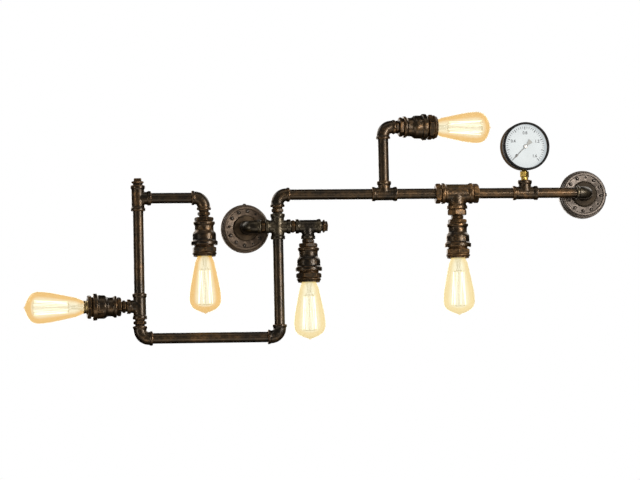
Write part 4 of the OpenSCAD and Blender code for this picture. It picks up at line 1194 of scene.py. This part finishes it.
class LAMP_OT_gauge(bpy.types.Operator):
    """Model the dial gauge: case, bezel, glass, printed dial, pointer and brass stem"""

    bl_idname = "pipe_lamp.gauge"
    bl_label = "Gauge"

    def shell(self, spot):
        """Case, bezel and glass pane. The pane throws no shadow on the dial."""
        back, front = depth_span("gauge_case", spot)
        case = [
            (0, back),
            (40.0, back),
            (44.5, back + 0.6),
            (46.9, back + 2.2),
            (47.8, back + 5.0),
            (47.8, front),
            (46.2, front),
            (46.2, back + 1.6),
            (0, back + 1.6),
        ]
        piece = place(turn("gauge_case_spun", case, 128), spot)
        finish_piece(piece, "case_enamel_warm_reflection", "gauge", "gauge_black", "gauge_case")
        back, front = depth_span("gauge_bezel", spot)
        ring = [
            (47.85, back),
            (48.6, back),
            (49.0, back + 0.5),
            (49.0, front - 2.6),
            (48.6, front - 1.0),
            (47.6, front - 0.2),
            (46.6, front),
            (45.2, front - 0.3),
            (44.5, front - 1.0),
            (44.25, front - 2.0),
            (47.85, front - 2.0),
        ]
        piece = place(turn("gauge_bezel_spun", ring, 128, closed=True), spot)
        finish_piece(piece, "bezel_enamel", "gauge", "gauge_black", "gauge_bezel")
        back, front = depth_span("gauge_glass", spot)
        pane = [(0, back), (47.4, back), (47.4, front), (0, front)]
        piece = place(turn("gauge_pane", pane, 96), spot)
        piece.visible_shadow = False
        finish_piece(piece, "pane_glass", "gauge", "clear_glass", "gauge_glass")

    def dial_angle(self, step, steps):
        return math.radians(DIAL_ZERO - DIAL_SWEEP * step / steps)

    def dial(self, spot):
        """Dial plate and its print: ticks round the edge, and the numbers."""
        back, face = depth_span("gauge_dial", spot)
        plate = [(2.6, back), (45.8, back), (45.8, face), (2.6, face)]
        piece = place(turn("dial_plate", plate, 128, bevel=0.15 * MM, closed=True), spot)
        finish_piece(piece, "dial_enamel_self_lit", "gauge", "dial_white", "gauge_dial")
        marks = []
        ticks = (self.tick("short_tick", 4.2, 0.95, face), self.tick("long_tick", 6.2, 1.5, face))
        for k in range(DIAL_STEPS + 1):
            turned = Matrix.Rotation(self.dial_angle(k, DIAL_STEPS), 4, "Z")
            marks.append(duplicate(ticks[k % 5 == 0], "tick", spot @ turned))
        discard(*ticks)
        for k, words in enumerate(DIAL_NUMBERS):
            marks.append(self.number(words, self.dial_angle(k, len(DIAL_NUMBERS) - 1), face, spot))
        finish_piece(join("dial_print", marks), "dial_ink", "gauge", "pointer_grey")

    def tick(self, name, length, width, face):
        """One printed tick that ends at the scale's outer edge."""
        deselect()
        bpy.ops.mesh.primitive_cube_add(size=1)
        mark = rename(bpy.context.object, name)
        stretch = Matrix.Diagonal((length * MM, width * MM, INK_DEPTH * MM, 1))
        move = Matrix.Translation(((TICK_END - length / 2) * MM, 0, (face + INK_DEPTH / 2) * MM))
        return place(mark, move @ stretch)

    def number(self, words, angle, face, spot):
        """One printed number, upright on the dial."""
        deselect()
        bpy.ops.object.text_add()
        text = bpy.context.object
        text.data.body = words
        text.data.size = NUMBER_SIZE * MM
        text.data.align_x = "CENTER"
        text.data.align_y = "CENTER"
        text.data.extrude = INK_DEPTH / 2 * MM
        text.data.offset = 0.16 * MM
        pick(text)
        bpy.ops.object.convert(target="MESH")
        text = bpy.context.object
        ring = NUMBER_RING * MM
        level = (face + INK_DEPTH / 2) * MM
        move = Matrix.Translation((ring * math.cos(angle), ring * math.sin(angle), level))
        return place(text, spot @ move)

    def plate(self, name, outline, spot):
        """Thin plate cut to an outline, as a sheet drawn edge by edge, filled and thickened."""
        plate = draw_outline(name, outline + [outline[0]])
        bpy.ops.mesh.remove_doubles(threshold=SAME_POINT)
        bpy.ops.mesh.edge_face_add()
        end_edit()
        apply_modifier(plate, "SOLIDIFY", thickness=0.6 * MM, offset=0.0)
        edit_all(plate)
        face_outwards()
        return place(plate, spot @ Matrix.Rotation(-QUARTER_TURN, 4, "X"))

    def pointer(self, spot):
        """Arrow-tipped blade and fan-shaped tail, on an arbor and under a hub cap."""
        foot, crown = depth_span("gauge_pointer", spot)
        level = crown - 1.8
        turned = Matrix.Rotation(math.radians(DIAL_ZERO), 4, "Z")
        seat = spot @ turned @ Matrix.Translation((0, 0, (level + 0.4) * MM))
        half = [(1.0, 0.95), (24.0, 0.85), (24.5, 2.3), (37.0, 0.25)]
        blade = self.plate("blade", half + [(x, -y) for x, y in reversed(half)], seat)
        fan = [(-3.0, 1.3), (-16.0, 5.2), (-16.6, 0.0), (-16.0, -5.2), (-3.0, -1.3)]
        tail = self.plate("pointer_tail", fan, seat)
        rod = [(0, foot), (1.3, foot), (1.3, level), (0, level)]
        arbor = place(turn("arbor", rod, 24), spot)
        under, rim, over = level - 0.3, level + 0.9, level + 1.0
        skirt = [(0, under), (4.2, under), (4.2, rim), (3.2, over), (0, over)]
        base = place(turn("hub_base", skirt, 40), spot)
        piece = join("pointer_blade", [blade, arbor, base])
        finish_piece(piece, "needle_grey", "pointer", "pointer_grey", "gauge_pointer")
        finish_piece(tail, "tail_grey", "pointer", "pointer_grey", "gauge_pointer")
        cap = [(0, rim), (3.3, rim), (3.1, level + 1.4), (1.2, level + 1.8), (0, level + 1.8)]
        piece = place(turn("pointer_hub", cap, 40), spot)
        finish_piece(piece, "hub_silver", "pointer", "pointer_grey", "gauge_pointer")

    def execute(self, context):
        cast = context.scene.pipe_lamp_cast
        spot = gauge_place()
        self.shell(spot)
        self.dial(spot)
        self.pointer(spot)
        piece = cast_copy("gauge_stem", "gauge_stem_turned", cast.stem_voxel, cast.stem_rounds)
        finish_piece(piece, "stem_brass", "gauge", "gauge_brass", "gauge_stem")
        return {"FINISHED"}


HIDDEN_FINISHES = {
    "wall_brackets": "zinc_steel",
    "canopy_locknuts": "zinc_steel",
    "terminal_block": "porcelain_glaze",
    "gauge_movement": "stem_brass",
}


class LAMP_OT_inner_pieces(bpy.types.Operator):
    """Finish the pieces that keep their CAD shape: brackets, locknuts, terminals and movement"""

    bl_idname = "pipe_lamp.inner_pieces"
    bl_label = "Inner pieces"

    def execute(self, context):
        for node, look in HIDDEN_FINISHES.items():
            coat(frame["nodes"][node].data, look)
        return {"FINISHED"}


# Points in metres that the camera and the lights aim at, and the middle of the floor
CAMERA_TARGET = (0.121, -0.045, 0.0)
LAMP_MIDDLE = (0.12, -0.06, 0.0)
FLOOR_MIDDLE = (0.12, -0.2, -1.5)

# Light panels aimed at the lamp: place and size in metres, power in watts and colour
PANELS = {
    "key": ((2.0, -2.3, 0.5), (0.3, 1.8), 64, (1.0, 0.95, 0.88)),
    "top": ((0.0, -1.2, 2.8), (3.0, 0.9), 14, (1.0, 0.93, 0.82)),
    "fill": ((-2.4, -1.4, -0.5), (0.4, 1.4), 18, (1.0, 0.92, 0.79)),
    "glint": ((1.15, -2.3, 0.05), (0.12, 0.25), 7, (1.0, 0.86, 0.74)),
    "strip": ((1.8, -2.5, 0.0), (1.6, 0.15), 24, (1.0, 0.9, 0.78)),
    "low": ((0.2, -1.3, -1.35), (3.0, 0.7), 15, (1.0, 0.93, 0.82)),
    "back": ((0.1, 2.8, 0.2), (2.6, 1.6), 60, (1.0, 0.96, 0.9)),
    "back_left": ((-2.2, 2.0, 1.9), (2.4, 2.0), 56, (1.0, 0.96, 0.9)),
    "back_right": ((2.5, 2.0, 1.9), (2.4, 2.0), 44, (1.0, 0.96, 0.9)),
}

# Light panel over the floor
FLOOR_WASH = ((0.12, -0.2, -0.75), (6.0, 6.0), 150, (1.0, 0.98, 0.95))

# Tones of the room that the metal reflects, by how far a direction points to the front
ROOM_TONES = [(0.45, (0.02, 0.018, 0.016)), (0.62, (0.62, 0.57, 0.50))]
ROOM_STRENGTH = 0.5


class LAMP_OT_stage(bpy.types.Operator):
    """Set up the camera, the studio lights and the pale floor"""

    bl_idname = "pipe_lamp.stage"
    bl_label = "Stage"

    def camera(self, stage):
        """Camera that takes the photograph's view of a target point near the lamp's middle."""
        a, e = stage.azimuth, stage.elevation
        back = Vector((math.sin(a) * math.cos(e), -math.cos(a) * math.cos(e), math.sin(e)))
        deselect()
        bpy.ops.object.camera_add(location=Vector(CAMERA_TARGET) + back * stage.distance)
        camera = bpy.context.object
        aim = (-back).to_track_quat("-Z", "Y").to_matrix().to_4x4()
        turned = aim @ Matrix.Rotation(stage.roll, 4, "Z")
        camera.matrix_world = Matrix.Translation(camera.location) @ turned
        camera.data.sensor_width = SENSOR_WIDTH
        camera.data.lens = stage.focal_px / PHOTO_WIDTH * SENSOR_WIDTH
        camera.data.shift_x = (PHOTO_WIDTH / 2 - stage.centre_px[0]) / PHOTO_WIDTH
        camera.data.shift_y = (stage.centre_px[1] - PHOTO_HEIGHT / 2) / PHOTO_WIDTH
        camera.data.clip_end = 100
        bpy.context.scene.camera = camera

    def softbox(self, name, target, spot, size, power, colour):
        """Soft light panel that the camera doesn't see."""
        deselect()
        bpy.ops.object.light_add(type="AREA", location=spot)
        light = rename(bpy.context.object, name)
        light.data.shape = "RECTANGLE"
        light.data.size, light.data.size_y = size
        light.data.energy = power
        light.data.color = colour
        light.rotation_euler = (Vector(target) - Vector(spot)).to_track_quat("-Z", "Y").to_euler()
        light.visible_camera = False

    def studio(self):
        """White backdrop for the camera. The metal reflects a room, bright in front and dark behind."""
        world = bpy.data.worlds.new("studio")
        bpy.context.scene.world = world
        tree = NodeTree(world)
        tree.nodes.clear()
        way = tree.add("TexCoord").outputs["Generated"]
        facing = tree.add("VectorMath", {0: way, 1: (0.0, -1.0, 0.0)}, operation="DOT_PRODUCT")
        share = tree.add("MapRange", {"Value": facing.outputs["Value"], "From Min": -1.0})
        tone = tree.ramp(share.outputs["Result"], ROOM_TONES)
        room = tree.add("Background", {"Color": tone, "Strength": ROOM_STRENGTH})
        white = tree.add("Background", {"Color": (1, 1, 1, 1), "Strength": 1.0})
        seen = tree.add("LightPath").outputs["Is Camera Ray"]
        mixed = tree.add("MixShader", {0: seen, 1: room.outputs[0], 2: white.outputs[0]})
        tree.add("OutputWorld", {"Surface": mixed.outputs[0]})

    def floor(self):
        """Pale paper floor, kept out of bounced light so that it doesn't brighten the undersides."""
        deselect()
        bpy.ops.mesh.primitive_plane_add(size=7.0, location=FLOOR_MIDDLE)
        floor = rename(bpy.context.object, "studio_floor")
        floor.visible_diffuse = False
        floor.visible_glossy = False
        bake_place(floor)
        tree = new_material("floor_paper")
        tone = tree.ramp(tree.noise(3.0, 2.0), [(0.3, 0.80), (0.7, 0.84)])
        tree.set(Base_Color=tone, Roughness=0.8)
        coat(floor.data, "floor_paper")

    def execute(self, context):
        self.camera(context.scene.pipe_lamp_stage)
        self.studio()
        self.floor()
        for name, panel in PANELS.items():
            self.softbox(name, LAMP_MIDDLE, *panel)
        self.softbox("floor_wash", FLOOR_MIDDLE, *FLOOR_WASH)
        context.scene.view_settings.view_transform = "Standard"
        return {"FINISHED"}


PIECE_OPERATORS = (
    LAMP_OT_finishes,
    LAMP_OT_stage,
    LAMP_OT_cast_fittings,
    LAMP_OT_forged_fittings,
    LAMP_OT_threads,
    LAMP_OT_pipes,
    LAMP_OT_canopies,
    LAMP_OT_sockets,
    LAMP_OT_bulbs,
    LAMP_OT_gauge,
    LAMP_OT_inner_pieces,
)

SETTING_GROUPS = {
    "pipe_lamp_cast": CastSettings,
    "pipe_lamp_finish": FinishSettings,
    "pipe_lamp_stage": StageSettings,
}


class LAMP_PT_panel(bpy.types.Panel):
    """Lists the lamp's settings and the operators that build it"""

    bl_idname = "LAMP_PT_panel"
    bl_label = "Pipe Lamp"
    bl_space_type = "VIEW_3D"
    bl_region_type = "UI"
    bl_category = "Pipe Lamp"

    def draw(self, context):
        layout = self.layout
        for group in SETTING_GROUPS:
            values = getattr(context.scene, group)
            box = layout.box()
            for name in values.__annotations__:
                box.prop(values, name)
        for operator in PIECE_OPERATORS:
            layout.operator(operator.bl_idname)


CLASSES = (*SETTING_GROUPS.values(), *PIECE_OPERATORS, LAMP_PT_panel)


def register():
    for cls in CLASSES:
        bpy.utils.register_class(cls)
    for name, group in SETTING_GROUPS.items():
        setattr(bpy.types.Scene, name, PointerProperty(type=group))


def unregister():
    for name in SETTING_GROUPS:
        delattr(bpy.types.Scene, name)
    for cls in reversed(CLASSES):
        bpy.utils.unregister_class(cls)


def main():
    register()
    bpy.ops.pipe_lamp.finishes()
    bpy.ops.pipe_lamp.stage()
    bpy.ops.pipe_lamp.cast_fittings()
    bpy.ops.pipe_lamp.forged_fittings()
    bpy.ops.pipe_lamp.threads()
    bpy.ops.pipe_lamp.pipes()
    bpy.ops.pipe_lamp.canopies()
    bpy.ops.pipe_lamp.sockets()
    bpy.ops.pipe_lamp.bulbs()
    bpy.ops.pipe_lamp.gauge()
    bpy.ops.pipe_lamp.inner_pieces()
    deselect()


if __name__ == "__main__":
    main()
